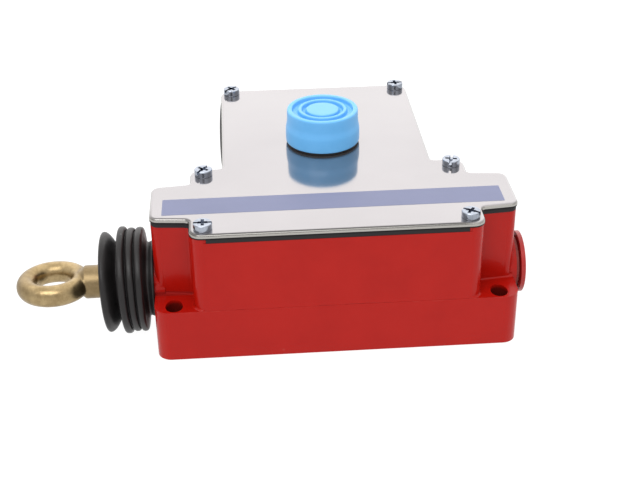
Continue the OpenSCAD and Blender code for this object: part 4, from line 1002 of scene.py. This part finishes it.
def bootSection(settings):
    # (radius, height above the cover): the top from its middle outwards, the side, then back inside
    h = settings["height"]
    low = h - settings["groove"]
    top = [(0, h - 0.3), (3.2, h - 0.28), (6.2, h - 0.3), (6.65, h - 0.42), (6.85, low + 0.3), (7.05, low),
           (8.15, low), (8.35, low + 0.3), (8.5, h - 0.35), (8.8, h - 0.18), (9.65, h - 0.18),
           (9.95, h - 0.35), (10.1, low + 0.3), (10.35, low), (12.05, low), (12.3, low + 0.3),
           (12.42, h - 0.3), (12.7, h), (14.0, h + 0.02), (14.45, h - 0.22), (14.55, h - 0.9)]
    side = [(14.58, 10.6), (14.64, 9.4), (14.84, 8.2), (15.08, 7.0), (15.2, 5.8), (15.2, 2.2), (15.15, 1.3),
            (14.9, 1.05), (14.3, 1.02)]
    inside = [(12.9, 1.02), (12.9, 2.2), (13.5, 2.9), (13.6, 5.2), (13.4, 7.4), (12.8, 10.0), (12.6, 11.6),
              (9.0, 11.75), (0, 11.75)]
    return top + side + inside


def makeBoot(settings):
    bm = spunShell(bootSection(settings), settings["steps"], (0, buttonY, coverTop), (0, 0, 1))
    piece = newPiece("resetBoot", bm)
    subdivide(piece, settings["level"])
    piece = newPiece("resetBoot", frozen(piece))
    dress(piece, "bootSilicone")
    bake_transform(piece)
    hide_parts("reset_boot")


makeBoot(bootSet)

sealSet = {"steps": 48, "inner": 11.3, "outer": 14.75, "height": 1.0}


def makeRingSeal(settings):
    # a flat rubber ring with a rounded rim, a little narrower than the boot's foot
    low, high, out = 0.02, settings["height"], settings["outer"]
    section = [(settings["inner"], low), (out - 0.5, low), (out - 0.1, low + 0.15), (out, high / 2),
               (out - 0.1, high - 0.15), (out - 0.5, high), (settings["inner"], high)]
    bm = spunShell(section, settings["steps"], (0, buttonY, coverTop), (0, 0, 1))
    smoothShade(bm, 50)
    piece = newPiece("ringSeal", bm)
    dress(piece, "gasketRubber")
    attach(piece, "housing")
    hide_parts("ring_seal")


makeRingSeal(sealSet)
print("reset boot and seal done")

# ---- blanking plugs ----

plugSet = {
    "edge": 0.75, "segments": 4, "sealGap": 0.3, "sealRim": 10.5,
    "gap": 0.45, "face": 0.2, "head": 2.9, "headRim": 10.6,
}


def thinHead(bm, nodeName, settings):
    # the plug's head is thinner, which opens a gap at the seal
    low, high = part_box(nodeName)
    for vert in bm.verts:
        away = Vector((vert.co.y - (low.y + high.y) / 2, vert.co.z - (low.z + high.z) / 2)).length
        if vert.co.x > high.x - 0.3 * mm:
            vert.co.x -= settings["face"] * mm
        elif vert.co.x > high.x - settings["head"] * mm and away > settings["headRim"] * mm:
            vert.co.x += settings["gap"] * mm


def makePlug(nodeName, pieceName, settings):
    bm = mergedMesh(nodeName)
    if nodeName == "end_plug":
        thinHead(bm, nodeName, settings)
    smoothShade(bm)
    piece = newPiece(pieceName, bm)
    dress(piece, "plugPlastic")
    softenEdges(piece, settings["edge"], settings["segments"])
    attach(piece, "housing")
    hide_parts(nodeName)


def makePlugSeals(settings):
    # the rims of the flat rings are drawn in a little
    bm = mergedMesh("plug_seals")
    for vert in bm.verts:
        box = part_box("end_plug") if vert.co.y < 30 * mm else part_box("side_plugs")
        middle = (box[0] + box[1]) / 2
        away = Vector((0, vert.co.y - middle.y, vert.co.z - middle.z))
        if away.length > settings["sealRim"] * mm:
            vert.co -= away.normalized() * settings["sealGap"] * mm
    smoothShade(bm)
    piece = newPiece("plugSeals", bm)
    dress(piece, "sealBrown")
    softenEdges(piece, 0.15, 2, 50)
    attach(piece, "housing")
    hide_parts("plug_seals")


makePlugSeals(plugSet)
makePlug("end_plug", "endPlug", plugSet)
makePlug("side_plugs", "sidePlugs", plugSet)
print("plugs done")

# ---- springs ----

springSet = {
    "return_spring": ("returnSpring", "pull_line"),
    "reset_spring": ("resetSpring", "reset_button"),
    "plunger_springs": ("plungerSprings", "carrier"),
    "latch_spring": ("latchSpring", "latch"),
}


def makeSpring(nodeName, pieceName):
    bm = mergedMesh(nodeName, flat=0.05)
    smoothShade(bm, 60)
    piece = newPiece(pieceName, bm)
    dress(piece, "springWire")
    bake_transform(piece)
    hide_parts(nodeName)


for nodeName, (pieceName, body) in springSet.items():
    makeSpring(nodeName, pieceName)
print("springs done")

# ---- thread in the cable entry ----

threadSet = {
    "core": 9.02, "root": 9.32, "pitch": 1.5, "turns": 6, "z": 24.0,
    "start": 0.9, "wall": 0.3, "inset": 0.1, "steps": 64,
}


def makeEntryThread(settings):
    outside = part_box("housing")[1].y / mm
    half = settings["pitch"] / 2
    section = []
    for index in range(settings["turns"]):
        at = settings["start"] + index * settings["pitch"]
        section += [(settings["root"], at), (settings["core"], at + half)]
    section += [(settings["root"], settings["start"] + settings["turns"] * settings["pitch"])]
    back = settings["root"] + settings["wall"]
    section += [(back, section[-1][1]), (back, section[0][1])]
    centre = (0, (outside - settings["inset"]) * mm, settings["z"] * mm)
    bm = spunShell(section, settings["steps"], centre, (0, -1, 0))
    smoothShade(bm, 30)
    piece = newPiece("entryThread", bm)
    dress(piece, "redPaint")
    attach(piece, "housing")


makeEntryThread(threadSet)
print("entry thread done")

makeCamera(cameraSet)
floor = makeStudio(studioSet)
floor.data.materials.append(makeFloorWhite("floorWhite", floorSet))
bpy.context.scene.view_settings.view_transform = "Standard"
print("camera and studio done")
